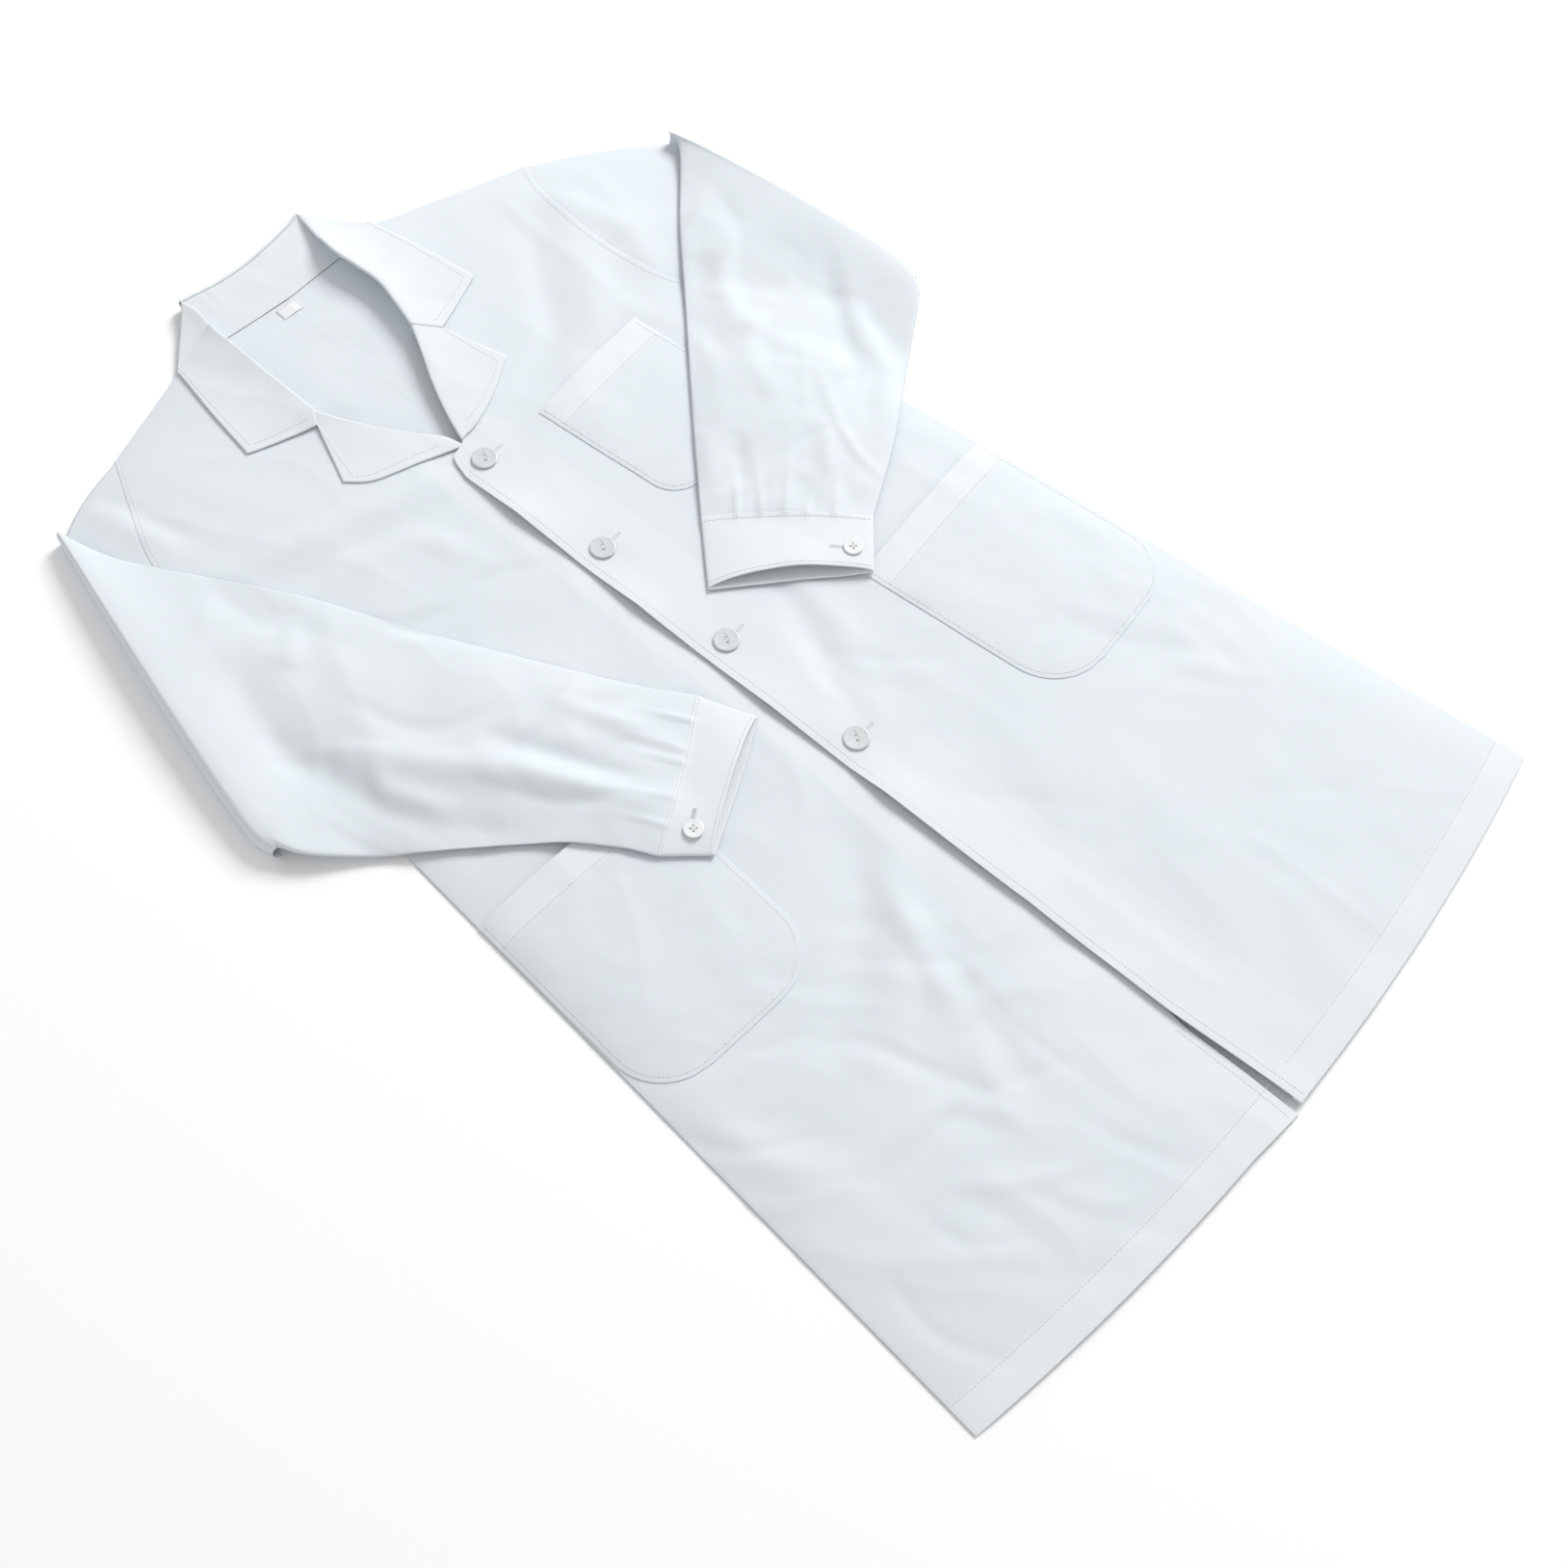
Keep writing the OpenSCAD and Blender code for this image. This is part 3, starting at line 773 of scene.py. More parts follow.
def add_key(location, size, power):
    """One large soft light that faces the coat."""
    light = bpy.data.objects.new("key", bpy.data.lights.new("key", "AREA"))
    light.data.size = size
    light.data.energy = power
    light.location = location
    light.rotation_mode = "QUATERNION"
    light.rotation_quaternion = Vector(location).to_track_quat("Z", "Y")
    bpy.context.scene.collection.objects.link(light)


def add_floor(reach):
    material, tree, shader = nodes_of("floor")
    cloud = add(tree, "ShaderNodeTexNoise", {"Scale": 3.0, "Detail": 3.0})["Fac"]
    colour = mixed(tree, cloud, [0.955] * 3, [0.965] * 3)
    feed(tree, shader, {"Base Color": colour, "Roughness": 0.9, "Specular IOR Level": 0.0})
    corners = np.array([(-reach, -reach, 0), (reach, -reach, 0), (reach, reach, 0), (-reach, reach, 0)])
    mesh_object("floor", corners, [[0, 1, 2, 3]], material)


def add_studio():
    """A white floor under one large soft light, high on the wearer's left, and a pale surround."""
    world = bpy.data.worlds.new("studio")
    world.use_nodes = True
    surround = world.node_tree.nodes["Background"]
    feed(world.node_tree, surround, {"Color": (0.97, 0.985, 1, 1), "Strength": 0.64})
    scene = bpy.context.scene
    scene.world = world
    add_key(location=(3.4, 0.5, 3.0), size=1.9, power=165)
    add_floor(reach=30.0)
    scene.view_settings.view_transform = "Standard"
    scene.view_settings.look = "None"


add_camera()
add_studio()

# --- placement baked into the meshes


def bend_over(obj):
    """Bakes the object's placement into its mesh."""
    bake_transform(obj)

# --- body panels

FINE = 1.0
CENTRE_SEAM = [(0, 0), (17, 765), (16, 1005)]
HEM_DEPTH = 24
FACING_WIDTH = 60


def rows_of(count):
    return max(4, int(count * FINE))


def band(away, width):
    """1 within width of an edge and 0 beyond, for cloth that lies double there. The mask drives painted shade:
    such cloth is painted whiter.
    """
    return ease((width + 1 - away) / 2)


def panel_plan(side, hem, inner, top, low_rows, high_rows):
    """A panel's plan grid, from its inner edge out to the side seam and from the hem up."""
    cut = CUT[side]
    outer = np.concatenate([even(cut["side"], low_rows)[:-1], smooth(cut["armhole"][::-1], high_rows)])
    return coons(hem, even(top, len(hem) - 1), inner, outer)


def make_front(side):
    cut, way, field = CUT[side], CUT[side]["way"], FRONT[side]
    low_rows, high_rows = rows_of(236), rows_of(84)
    edge_x, edge_y = cut["edge"][0]
    hem = hem_line(edge_x, way * HEM_HALF, rows_of(104))
    hem[:, 1] += np.interp(way * (hem[:, 0] - edge_x), (0, 44.5), (edge_y, 0))
    inner = np.concatenate([even(cut["edge"], low_rows)[:-1], smooth(cut["neck"], high_rows)])
    plan = panel_plan(side, hem, inner, cut["shoulder"], low_rows, high_rows)
    away, _ = distance(cut["edge"], plan)
    # Hem band and facing lie double; the ply mask paints them whiter, as painted shade.
    plies = np.maximum(band(plan[..., 1] - hem_y(plan[..., 0]), HEM_DEPTH), 0.55 * band(away, FACING_WIDTH))
    plies = np.pad(plies, ((TURN_STEPS + 1, 0), (TURN_STEPS + 1, 0)), mode="edge")
    grid = hemmed(lifted(plan, at(field, plan)), ("bottom", "left"))
    nodes = (f"front_{side}", f"skirt_{side}")
    obj = sheet_for(nodes, f"front_panel_{side}", grid, "laid", ["back_left", "back_right"], plies=plies)
    bend_over(obj)

    hem = hem_line(8, way * (HEM_HALF - 4), 200) + (0, HEM_DEPTH - 1)
    edge = np.array(cut["edge"][: cut["seen"]], float) + (5.5 * way, 2)
    armhole = smooth(np.array(cut["armhole"], float) - (4.5 * way, 0), 60)
    lines = [on_field(field, line, count) for line, count in ((hem, 220), (edge, 300), (armhole, 80))]
    bend_over(stitched(f"front_stitches_{side}", lines))


def make_facing(side):
    """The turned-in strip behind a front edge."""
    edge = even(CUT[side]["edge"], rows_of(150))
    way = CUT[side]["way"]
    across = np.linspace(0, 1, 13)[None, :, None]
    first, last = edge + (2.5 * way, 0), edge + (FACING_WIDTH * way, 0)
    plan = first[:, None] * (1 - across) + last[:, None] * across
    plan[..., 1] = np.maximum(plan[..., 1], hem_y(plan[..., 0]) + 2.5)
    grid = lifted(plan, at(FRONT[side], plan) - 1.25)
    nodes = (f"facing_{side}", f"skirt_facing_{side}")
    obj = sheet_for(nodes, f"front_facing_{side}", grid, "laid", [f"front_panel_{side}"], thickness=0.3)
    bend_over(obj)


def back_height(p):
    """The back lies flat, and loose in the neck opening."""
    neck = np.exp(-(((p[..., 0] - 12) / 52) ** 4) - (((p[..., 1] - 925) / 82) ** 4))
    seam_away, _ = distance([(15, 1004), (18, 700)], p)
    seam = 0.25 * np.exp(-((seam_away / 2.0) ** 2)) - 0.12 * np.exp(-(((seam_away - 5) / 2.5) ** 2))
    return 0.6 + neck * (1.5 + 0.9 * noise(p, 60, 31) + 0.5 * noise(p, 27, 32) + seam)


def make_back(side):
    low_rows, high_rows = rows_of(120), rows_of(90)
    hem = hem_line(0, CUT[side]["way"] * HEM_HALF, rows_of(70))
    inner = np.concatenate([even(CENTRE_SEAM[:2], low_rows)[:-1], even(CENTRE_SEAM[1:], high_rows)])
    plan = panel_plan(side, hem, inner, CUT[side]["back_top"], low_rows, high_rows)
    grid = lifted(plan, back_height(plan))
    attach(sheet_for([f"back_{side}"], f"back_panel_{side}", grid, "laid", thickness=0.4), "coat_body")


for side in SIDES:
    make_back(side)
    make_front(side)
    make_facing(side)

# --- pockets

POCKET_CELL = 2.4
POCKET_SEAM = 3.5


def pocket_grid(name):
    *_, w, h, r = POCKETS[name]
    down = h * np.linspace(0, 1, rows_of(int(h / POCKET_CELL)) + 1)
    inset = np.where(down > h - r, r - np.sqrt(np.clip(r * r - (down - h + r) ** 2, 0, None)), 0)
    across = (w / 2 - inset)[:, None] * np.linspace(-1, 1, rows_of(int(w / POCKET_CELL)) + 1)[None]
    return pocket_plan(name, across, np.broadcast_to(down[:, None], across.shape)), down


def make_pocket(name):
    side, *_, w, h, r = POCKETS[name]
    plan, down = pocket_grid(name)
    # The pocket's turned top lies double; the ply mask paints it whiter, as painted shade.
    plies = np.broadcast_to(band(down, HEM_DEPTH)[:, None], plan.shape[:2])
    plies = np.pad(plies, TURN_STEPS + 1, mode="edge")
    grid = lifted(plan, at(FRONT[side], plan) + pocket_rise(name, plan))
    grid = hemmed(grid, ("bottom", "left", "right", "top"), radius=0.35, depth=2)
    obj = sheet_for([name], f"{name}_patch", grid, "laid", [f"front_panel_{side}"], plies=plies, thickness=0.35)
    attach(obj, "coat_body")

    half, bend = w / 2 - POCKET_SEAM, r - POCKET_SEAM
    angles = np.linspace(0, math.pi / 2, 12)
    corner = [(half - bend + bend * math.cos(a), h - r + bend * math.sin(a)) for a in angles]
    outline = [(half, 2), *corner, *[(-a, d) for a, d in corner[::-1]], (-half, 2)]
    lines = []
    for line in (outline, [(-w / 2 + 2, HEM_DEPTH - 1), (w / 2 - 2, HEM_DEPTH - 1)]):
        line = even(line, 220)
        spots = pocket_plan(name, line[:, 0], line[:, 1])
        lines.append(lifted(spots, at(FRONT[side], spots) + pocket_rise(name, spots)))
    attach(stitched(f"{name}_stitches", lines), "coat_body")


for pocket_name in POCKETS:
    make_pocket(pocket_name)

# --- collar and lapels

COLLAR_GAP = 1.5
FALL_ROWS, FALL_TURN, FALL_STEP = 12, 8, 9


def roll_parts(side):
    """The roll line below the gorge and above it, both from the bottom up."""
    points, gorge = CUT[side]["roll"], CUT[side]["gorge"]
    low = [p for p in points if p[1] < gorge[1] - 1] + [gorge]
    high = [gorge] + [p for p in points if p[1] > gorge[1] + 1]
    return low, high


def over_height(side, plan, away):
    """Height of a collar or lapel, which lies on the front and rises to its roll."""
    wave = 0.5 * noise(plan, 42, 51) + 0.2 * noise(plan, 18, 52)
    return at(FRONT[side], plan) + COLLAR_GAP + (1.2 + wave) * np.exp(-((away / 30) ** 2)) + 0.3 * wave


def turned_over(side, part, nodes, plan, roll, lift, inset, skip, radius, plies):
    """A lapel or a collar end, and the stitches round it that start skip columns from the roll."""
    away, _ = distance(roll, plan)
    grid = lifted(plan, over_height(side, plan, away) + lift)
    lines = [grid[inset:, -inset], grid[inset, skip:-inset]]
    bend_over(stitched(f"{part}_stitches_{side}", lines))
    grid = hemmed(grid, ("left",), radius=radius, depth=5)
    looks = {"plies": plies, "thickness": 1.1}
    obj = sheet_for(nodes, f"{part}_{side}_cloth", grid, "folded", [f"front_panel_{side}"], **looks)
    bend_over(obj)


def make_lapel(side):
    cut = CUT[side]
    low_roll, _ = roll_parts(side)
    up, across = rows_of(62), rows_of(40)
    roll = smooth(low_roll, up)
    outer = even([cut["lapel_low"][-1], cut["notch"]], up)
    plan = coons(smooth(cut["lapel_low"], across), even([cut["gorge"], cut["notch"]], across), roll, outer)
    inset = plan.shape[1] // 8
    turned_over(side, "lapel", [f"lapel_{side}"], plan, roll, 0, inset, inset, 1.3, 0.6)


def make_collar(side):
    cut, outer = CUT[side], CUT[side]["collar_outer"]
    _, high_roll = roll_parts(side)
    up, across = rows_of(70), rows_of(40)
    roll = smooth(high_roll, up)
    to_notch = even([cut["gorge"], cut["notch"]], across // 3)[:-1]
    low = np.concatenate([to_notch, even([cut["notch"], outer[-1]], across - across // 3)])
    plan = coons(low, even([high_roll[-1], outer[0]], across), roll, smooth(outer[::-1], up))
    inset = plan.shape[1] // 9
    nodes = (f"collar_wing_{side}", f"collar_end_{side}")
    turned_over(side, "collar", nodes, plan, roll, 0.5, inset, 3 * inset, 1.6, 0.7)


def roll_height(line, side):
    return over_height(side, line, np.zeros(len(line))) - 0.6


def make_stand():
    """The inner band of the collar, from the neck seam up to the fold, and the fall behind it."""
    count = rows_of(60)
    feet, tops, heights = {}, {}, {}
    for side in SIDES:
        _, high_roll = roll_parts(side)
        feet[side] = smooth(CUT[side]["stand_foot"], count)
        tops[side] = smooth(high_roll[::-1], count)
        heights[side] = roll_height(tops[side], side)
    back_top = smooth(ROLL_BACK, count)
    share = np.linspace(0, 1, count + 1)
    back_z = (1 - share) * roll_height(back_top, "right") + share * roll_height(back_top, "left")
    foot, top, top_z = (
        np.concatenate([ends["right"][::-1][:-1], middle, ends["left"][1:]])
        for ends, middle in ((feet, even(NECK_SEAM, count)), (tops, back_top), (heights, back_z))
    )
    share = np.linspace(0, 1, 13)[:, None]
    plan = (1 - share[..., None]) * foot[None] + share[..., None] * top[None]
    foot_z = back_height(foot) + 0.8
    z = (1 - share) * foot_z[None] + share * top_z[None] + 0.8 * np.sin(math.pi * share) * noise(plan, 24, 61)
    looks = {"plies": 0.5, "thickness": 0.4}
    rests_on = ["back_panel_left", "back_panel_right"]
    stand = sheet_for(["collar_stand"], "collar_stand_cloth", lifted(plan, z), "folded", rests_on, **looks)
    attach(stand, "coat_body")
    grid = fall_grid(lifted(back_top, back_z + 0.3))
    fall = sheet_for(["under_collar"], "collar_fall_cloth", grid, "folded", ["collar_stand_cloth"], **looks)
    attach(fall, "coat_body")


def fall_grid(top):
    """Cloth that turns over the fold on a half circle and then runs back under the neck."""
    radius = top[:, 2] / 2 - 0.4
    rows = []
    for k in range(FALL_ROWS + 1):
        a = math.pi * min(k, FALL_TURN) / FALL_TURN
        row = top.copy()
        row[:, 1] += np.clip(radius, 1, 5) * math.sin(a) - FALL_STEP * max(0, k - FALL_TURN)
        row[:, 2] -= radius * (1 - math.cos(a))
        rows.append(row)
    return np.stack(rows)


def make_label():
    """The small blank label sewn inside the neck."""
    across, down = np.meshgrid(np.linspace(-10, 10, 21), np.linspace(-6, 6, 13))
    plan = np.stack([13 + across + 0.06 * down, 996 + down - 0.06 * across], axis=-1)
    grid = lifted(plan, back_height(plan) + 0.75 + 0.25 * np.cos(across / 4))
    looks = {"slot": "label", "thickness": 0.3, "material": LABEL}
    rests_on = ["back_panel_left", "back_panel_right"]
    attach(sheet_for(["size_label"], "size_label_cloth", grid, "laid", rests_on, **looks), "coat_body")
    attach(stitched("label_stitches", [grid[-2], grid[1:-1, 1], grid[1:-1, -2]], lift=0.15), "coat_body")


for side in SIDES:
    make_lapel(side)
    make_collar(side)
make_stand()
make_label()

# --- sleeves and cuffs

ARM_CENTRE_Z = 12.3
ARM_CORNER_Z = 7.6
BEND_START_Z = 9.3
ROOT_STRIP = 6
EDGE_LOFT = 1.9
SLEEVE_RELIEF = 1.5
TURN_RINGS = 16
CUFF_LOFT = 1.3


def ring_shares():
    """Places across a flat tube, closer together towards its two edges."""
    k = np.linspace(0, 1, rows_of(64) + 1)
    return 0.45 * k + 0.55 * (0.5 - 0.5 * np.cos(math.pi * k))


T = ring_shares()
BULGE = (1 - np.abs(2 * T - 1) ** 2.6) ** (1 / 2.6)


def line_at(points):
    """Points at the tube's places along a smooth line."""
    fine = smooth(points, 400)
    share = np.linspace(0, 1, len(fine))
    return np.stack([np.interp(T, share, fine[:, k]) for k in range(2)], axis=1)


def tube(top, bottom):
    """Rings of points from an upper and a lower grid that share their two edges."""
    return np.concatenate([top, bottom[:, -2:0:-1]], axis=1)


def fold_inward(fold):
    """The way from the fold line to the coat, square to the fold."""
    chord = fold[-1] - fold[0]
    inward = np.array([-chord[1], chord[0]]) / np.linalg.norm(chord)
    return inward if inward @ (np.array([0, 800.0]) - fold[0]) > 0 else -inward


def cap_grids(side, start):
    """The upper arm's under and upper cloth, from the armhole to where the fold's turn starts."""
    cut = CUT[side]
    rows = rows_of(44)
    armhole = line_at(cut["armhole"]) - (1.5 * cut["way"], 0)
    plan = coons(armhole, start, smooth(cut["cap_top"], rows), smooth(cut["cap_low"], rows))
    share = np.linspace(0, 1, rows + 1)[:, None]
    top = np.minimum(at(FRONT[side], plan), np.interp(share, (0.5, 1), (30, 8.2)))
    top = top - 0.55 * np.exp(-share * rows / 2)
    low = np.full_like(top, 0.6) + 0.4 * (1 - BULGE)[None]
    return lifted(plan, low), lifted(plan, top)


def turn_grid(fold, inward, centre, squash, z):
    """A half turn of cloth round the fold, from height z under the tube's middle to as far above it."""
    radius = centre - z
    rows = []
    for k in range(1, TURN_RINGS):
        a = math.pi * k / TURN_RINGS
        out = (centre - 0.6 - radius * math.sin(a)) * squash
        rows.append(lifted(fold + inward * out[:, None], centre - radius * math.cos(a)))
    return np.array(rows)


def forearm_grids(side, start, first_top, first_low):
    """The forearm's upper and under cloth, from the fold's turn to the cuff's seam."""
    cut = CUT[side]
    seed, puff_height, crumple_lean, crease_lean = SLEEVE_LOOSE[side]
    rows = rows_of(112)
    plan = coons(start, line_at(cut["cuff_seam"]), smooth(cut["arm_top"], rows), smooth(cut["arm_low"], rows))
    length = np.linalg.norm(np.diff(plan, axis=0), axis=-1).cumsum(0)
    along = np.concatenate([np.zeros((1, len(T))), length])
    left = length[-1][None] - along
    rest = at(UNDER_ARM, plan)
    field = crumple(seed, 1.35, crumple_lean)
    creases(field, SLEEVE_FOLDS[side])
    scatter(field, cut["arm_top"] + cut["arm_low"], 46, seed + 7, crease_lean, 1.2)
    puff = puff_height * hump(T)[None] ** 0.7 * (1 - 0.55 * near(left, 30))
    relief = SLEEVE_RELIEF * at(field, plan) * (1 - near(left, 12))
    top = rest + EDGE_LOFT * (1 + BULGE) + BULGE * (puff + relief) + pleats(left, seed)
    low = rest + EDGE_LOFT * (1 - BULGE)
    top = np.maximum(top, low + EDGE_LOFT * BULGE)
    mix = ease(along / 80)
    low = np.maximum((1 - mix) * first_low + mix * low, rest)
    top = np.maximum((1 - mix) * first_top + mix * top, low)
    return lifted(plan, top), lifted(plan, low)


def pleats(left, seed):
    """Small gathers that die out away from the cuff's seam."""
    rng = np.random.default_rng(seed)
    total = np.zeros_like(left)
    for middle in (0.18, 0.34, 0.47, 0.63, 0.8):
        middle = middle + rng.uniform(-0.03, 0.03)
        reach = rng.uniform(22, 48)
        drift = rng.uniform(-0.0009, 0.0009)
        away = (T[None] - middle - drift * left) / 0.018
        total += rng.uniform(1.0, 2.0) * np.exp(-(away**2)) * np.exp(-((left / reach) ** 2))
    return total


def make_arm(side):
    """The upper arm, and the forearm with the turn at the fold. Returns the forearm's rings."""
    fold = line_at(CUT[side]["fold"])
    inward = fold_inward(fold)
    centre = ARM_CORNER_Z + (ARM_CENTRE_Z - ARM_CORNER_Z) * hump(T) ** 0.5
    first, last = CUT[side]["squash"]
    squash = first + (last - first) * T**2
    start = fold + inward * ((centre - 0.6) * squash)[:, None]
    cap_low, cap_top = cap_grids(side, start)
    low_z, top_z = cap_low[-1, :, 2], cap_top[-1, :, 2]
    cap = tube(cap_low, cap_top)
    turn = tube(*(turn_grid(fold, inward, centre, squash, z) for z in (low_z, top_z)))
    forearm = tube(*forearm_grids(side, start, 2 * centre - low_z, 2 * centre - top_z))

    from_fold = ((cap[:, : len(fold), :2] - fold[None]) @ inward).min(1)
    keep = int(np.sum(from_fold > from_fold[-1] + ROOT_STRIP))
    name, nodes = f"sleeve_cap_{side}_cloth", [f"sleeve_cap_{side}"]
    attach(sheet_for(nodes, name, cap[: keep + 1], "laid", closed=True, thickness=0.4), "coat_body")

    lower = np.concatenate([cap[keep:], turn, forearm])
    nodes = [f"sleeve_{part}_{side}" for part in ("under", "over", "edge", "seam")]
    looks = {"closed": True, "thickness": 0.45}
    obj = sheet_for(nodes, f"sleeve_{side}_cloth", lower, "folded", [f"front_panel_{side}"], **looks)
    start = np.array([*(fold[0] + fold[-1]) / 2, BEND_START_Z])
    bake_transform(obj)
    return forearm


def make_cuff(side, forearm):
    """The double band below the forearm, a little open. Returns the points of its upper face."""
    seed, *_ = SLEEVE_LOOSE[side]
    count = len(T)
    last = forearm[-1]
    seam_top, seam_low = last[:count], np.concatenate([last[:1], last[: count - 2 : -1]])
    seam, end = line_at(CUT[side]["cuff_seam"]), line_at(CUT[side]["cuff_end"])
    rows = rows_of(30)
    plan = coons(seam, end, even([seam[0], end[0]], rows), even([seam[-1], end[-1]], rows))
    share = np.linspace(0, 1, rows + 1)[:, None]
    rest = at(UNDER_ARM, plan)
    open_up = 2.2 + 5.0 * share * hump(T)[None] ** 0.8
    ripple = 0.5 * noise(plan, 30, seed + 9)
    meet = np.exp(-share * 12)
    top = rest + CUFF_LOFT * (1 + BULGE) + BULGE * (open_up + ripple)
    top = top * (1 - meet) + (seam_top[:, 2][None] + 0.3) * meet
    low = (rest + CUFF_LOFT * (1 - BULGE)) * (1 - meet) + (seam_low[:, 2][None] - 0.1) * meet
    top_plan = plan + (seam - end)[None] * (0.13 * share * hump(T)[None] ** 0.6)[..., None]
    grid = tube(lifted(top_plan, top), lifted(plan, low))
    looks = {"plies": 1.0, "thickness": 0.9, "closed": True}
    name, rests_on = f"cuff_{side}_cloth", [f"front_panel_{side}"]
    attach(sheet_for([f"cuff_{side}"], name, grid, "folded", rests_on, **looks), f"{side}_forearm")
    face = grid[:, 2 : count - 2]
    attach(stitched(f"cuff_stitches_{side}", [face[2], face[-3]], lift=0.15), f"{side}_forearm")
    return grid[:, :count].reshape(-1, 3)


CUFF_TOPS = {}
for side in SIDES:
    CUFF_TOPS[side] = make_cuff(side, make_arm(side))

# --- buttons

# Each button's middle, radius and material.
BUTTONS = {
    **{f"front_button_{k + 1}": ((BUTTON_X, y), 10.0, PEARL) for k, y in enumerate(BUTTON_YS)},
    "cuff_button_left": ((128, 501), 7.5, WHITE_BUTTON),
    "cuff_button_right": ((-127, 431), 7.5, WHITE_BUTTON),
}
HOLE_OUT = 2.1
HOLE_R = 0.9
HOLE_TURNS = {"front": (58, 238), "cuff": (45, 135, 225, 315)}
DISC_Z = 0.8
EYE_Z = 0.95
EYE_REACH = 6.2
EYE_POINTS = 24
SHANK_R = 1.3
SHANK_H = 0.85
# Radius as a share of the button's, and height.
DISC_PROFILE = [
    (0.0, 0.0), (0.84, 0.0), (0.96, 0.2), (1.0, 0.6), (0.98, 1.1), (0.93, 1.4), (0.87, 1.45), (0.79, 1.36),
    (0.70, 1.3), (0.0, 1.28)
]
HOLE_PROFILE = [(0, 0), (HOLE_R, 0), (HOLE_R, 4), (0, 4)]
SHANK_TOP = SHANK_H + 0.2
SHANK_PROFILE = [
    (0, 0), (SHANK_R * 1.5, 0), (SHANK_R, 0.5), (SHANK_R, SHANK_H), (SHANK_R * 1.1, SHANK_TOP), (0, SHANK_TOP)
]


def cloth_under(group, side, x, y):
    """Height of the cloth that a button or buttonhole lies on."""
    if group == "front":
        return float(at(FRONT["left"], np.array([x, y])))
    top = CUFF_TOPS[side]
    return top[np.argmin((top[:, 0] - x) ** 2 + (top[:, 1] - y) ** 2), 2]


def turned(name, x, y, z, profile, material, around=64):
    """A closed shape turned about the upright line through x, y. Profile rows are (radius, height)."""
    ring = np.linspace(0, 2 * math.pi, around, endpoint=False)
    rows = [(r, h) for r, h in profile if r > 0]
    points = [(x + r * math.cos(a), y + r * math.sin(a), z + h) for r, h in rows for a in ring]
    points += [(x, y, z + profile[0][1]), (x, y, z + profile[-1][1])]
    faces = grid_faces(len(rows), around, closed=True).tolist()
    last, foot, top = (len(rows) - 1) * around, len(points) - 2, len(points) - 1
    for k in range(around):
        faces.append([foot, (k + 1) % around, k])
        faces.append([last + k, last + (k + 1) % around, top])
    return mesh_object(name, metres(points), faces, material)


def cut_out(obj, cutter):
    """Takes the cutter's shape out of the object."""
    bpy.context.view_layer.objects.active = obj
    change = obj.modifiers.new("cut", "BOOLEAN")
    change.object = cutter
    change.solver = "EXACT"
    bpy.ops.object.modifier_apply(modifier=change.name)
    bpy.data.objects.remove(cutter)


def eye_cutter(x, y, z):
    """The long leaf-shaped hollow in the face of a front button, in line with its holes."""
    turn = math.radians(HOLE_TURNS["front"][0])
    c, s = math.cos(turn), math.sin(turn)
    outline = []
    for a in np.linspace(0, 2 * math.pi, EYE_POINTS, endpoint=False):
        across = 0.26 * EYE_REACH * math.sin(a) * abs(math.sin(a)) ** 0.4
        along = EYE_REACH * math.cos(a)
        outline.append((x + along * c - across * s, y + along * s + across * c))
    points = np.array([[(*p, z + h) for p in outline] for h in (0, 3)])
    caps = [list(range(EYE_POINTS - 1, -1, -1)), list(range(EYE_POINTS, 2 * EYE_POINTS))]
    faces = grid_faces(2, EYE_POINTS, closed=True).tolist() + caps
    return mesh_object("eye", metres(points), faces, PEARL, rounded=False)


def make_disc(name, group, base, holes):
    (x, y), radius, material = BUTTONS[name]
    disc = turned(f"{name}_disc_mesh", x, y, base, [(r * radius, h) for r, h in DISC_PROFILE], material)
    if group == "front":
        cut_out(disc, eye_cutter(x, y, base + EYE_Z))
    for spot in holes:
        cut_out(disc, turned("hole", *spot, base - 1, HOLE_PROFILE, material, 20))
    disc.data.set_sharp_from_angle(angle=math.radians(35))
    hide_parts(name)
    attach(disc, f"{name}_disc")


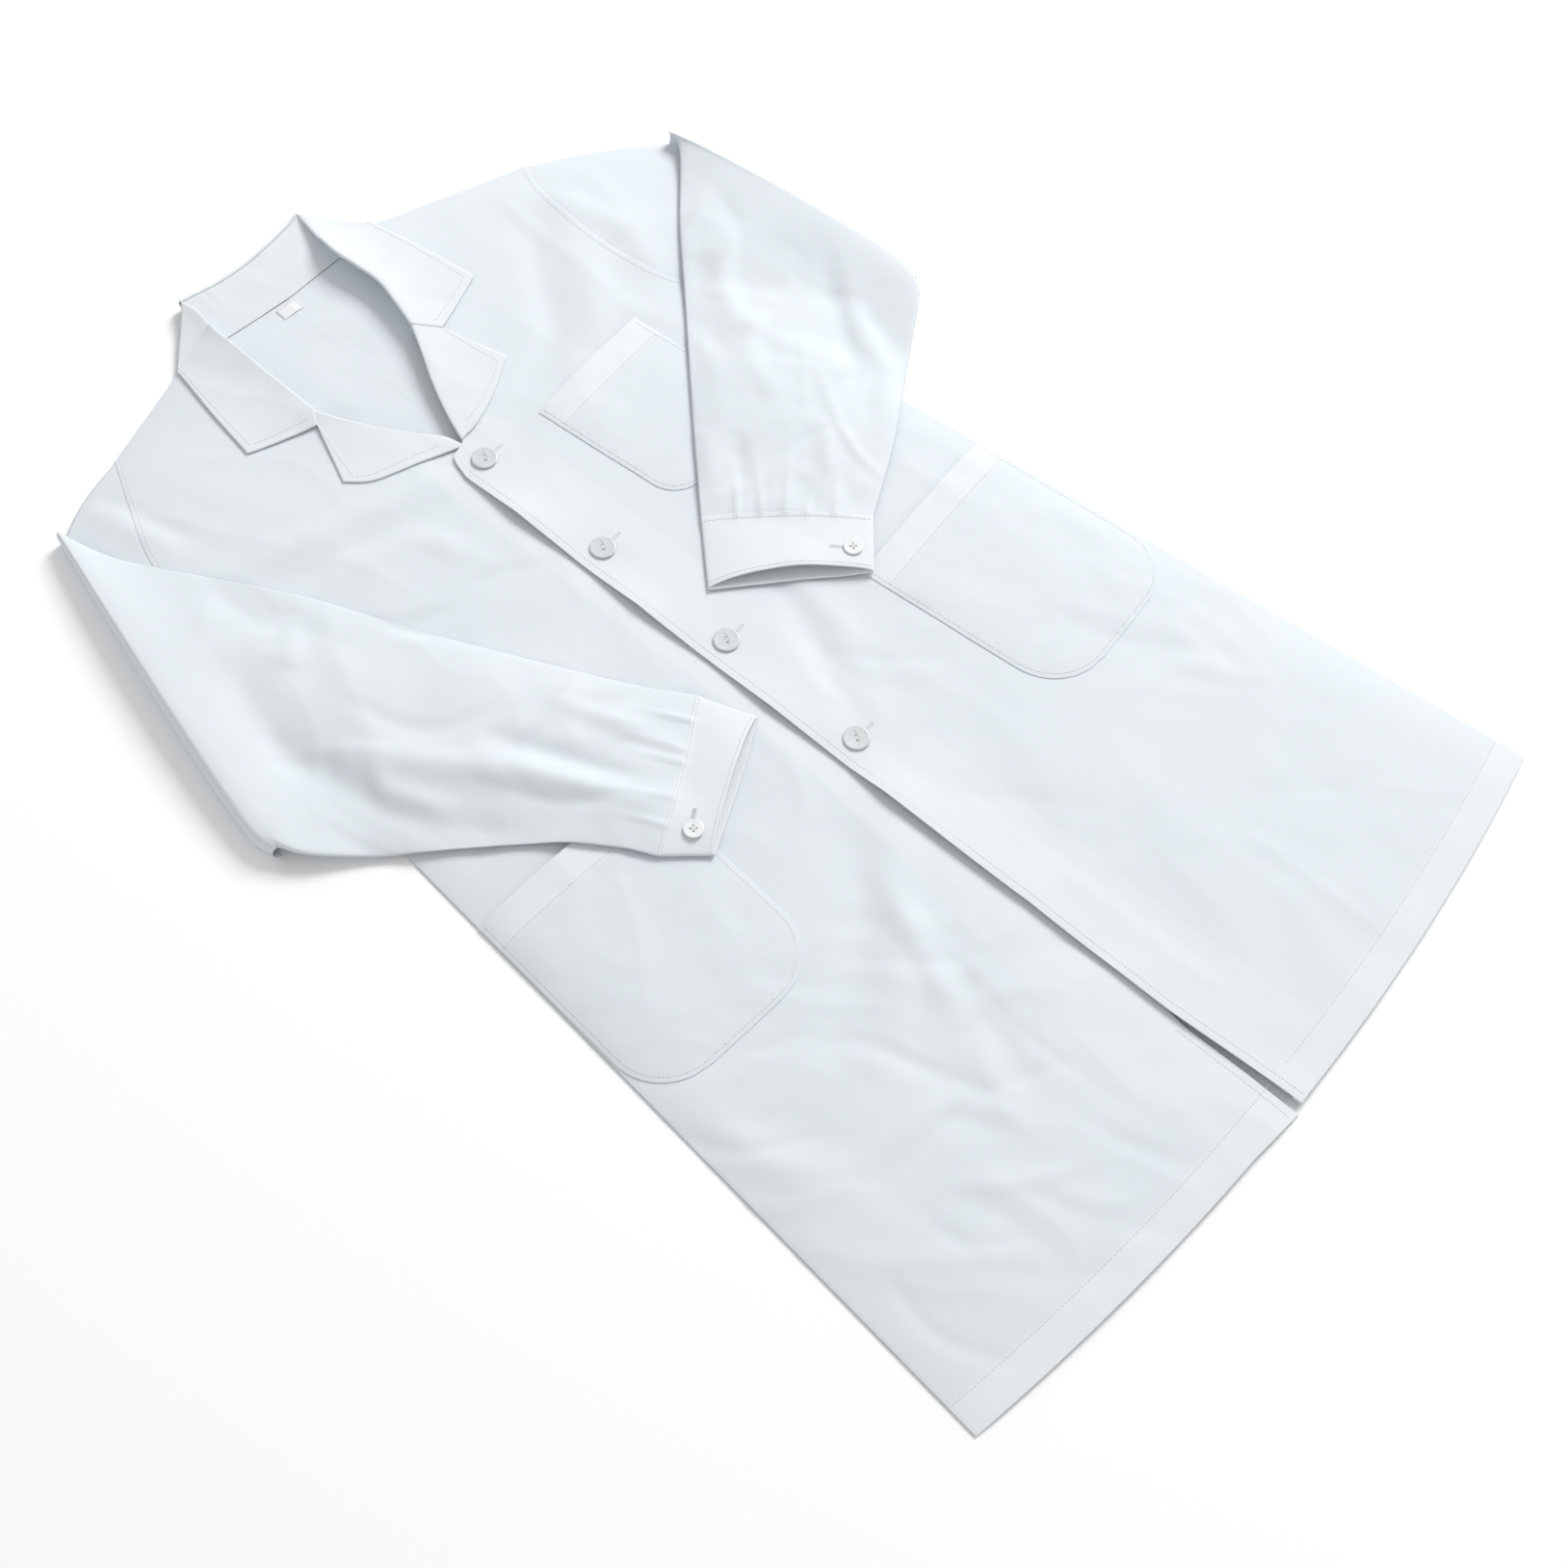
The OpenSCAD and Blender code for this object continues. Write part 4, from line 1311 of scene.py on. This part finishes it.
def make_button(name):
    """A button on its thread: the disc, the thread across its holes and the shank below."""
    (x, y), *_ = BUTTONS[name]
    group, side = name.split("_")[0], name.split("_")[-1]
    cloth_z = cloth_under(group, side, x, y)
    base = cloth_z + DISC_Z
    turns = np.radians(HOLE_TURNS[group])
    holes = [(x + HOLE_OUT * math.cos(a), y + HOLE_OUT * math.sin(a)) for a in turns]
    make_disc(name, group, base, holes)

    half = len(holes) // 2
    top = base + (1.05 if group == "front" else 1.4)
    centres, ways = [], []
    for a, b in zip(holes[:half], holes[half:]):
        way = np.array([b[0] - a[0], b[1] - a[1], 0.0])
        across = np.array([-way[1], way[0], 0.0]) / np.linalg.norm(way)
        middle = np.array([(a[0] + b[0]) / 2, (a[1] + b[1]) / 2, top])
        centres += [middle + across * slide for slide in (-0.3, 0.0, 0.3)]
        ways += [way] * 3
    crossing = thread_dashes(f"{name}_crossing_thread", centres, ways, length=2 * HOLE_OUT + 0.8, radius=0.22)
    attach(crossing, f"{name}_disc")

    node = name.replace("_button", "_shank")
    shank = turned(f"{node}_thread", x, y, cloth_z - 0.3, SHANK_PROFILE, THREAD, 20)
    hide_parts(node)
    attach(shank, "coat_body" if group == "front" else f"{side}_forearm")


def make_buttonhole(name, group, side, middle, way, length, lift):
    """A worked buttonhole: a row of satin stitches along each lip and a bar at each end."""
    way = np.array(way, float) / np.linalg.norm(way)
    across = np.array([-way[1], way[0]])
    count = int(length / 0.55)
    places = [((k / count - 0.5) * length, lip * 0.8, 0.02) for k in range(count + 1) for lip in (-1, 1)]
    places += [(end * length, 0, 0.2) for end in (-0.5, 0.5)]
    centres = []
    for along, aside, rise in places:
        spot = np.array(middle) + way * along + across * aside
        centres.append((*spot, cloth_under(group, side, *spot) + lift + rise))
    ways = [(*across, 0.0)] * len(centres)
    return thread_dashes(name, centres, ways, length=1.5, radius=0.18)


for button_name in BUTTONS:
    make_button(button_name)
for k, button_y in enumerate(BUTTON_YS):
    middle = (BUTTON_X + 8, button_y)
    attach(make_buttonhole(f"front_buttonhole_{k + 1}", "front", "left", middle, (1, 0), 21, 0), "coat_body")
for side, middle, way in (("left", (122, 508), (0.62, -0.78)), ("right", (-121, 437), (-0.85, -0.52))):
    hole = make_buttonhole(f"cuff_buttonhole_{side}", "cuff", side, middle, way, 16, 0.1)
    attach(hole, f"{side}_forearm")
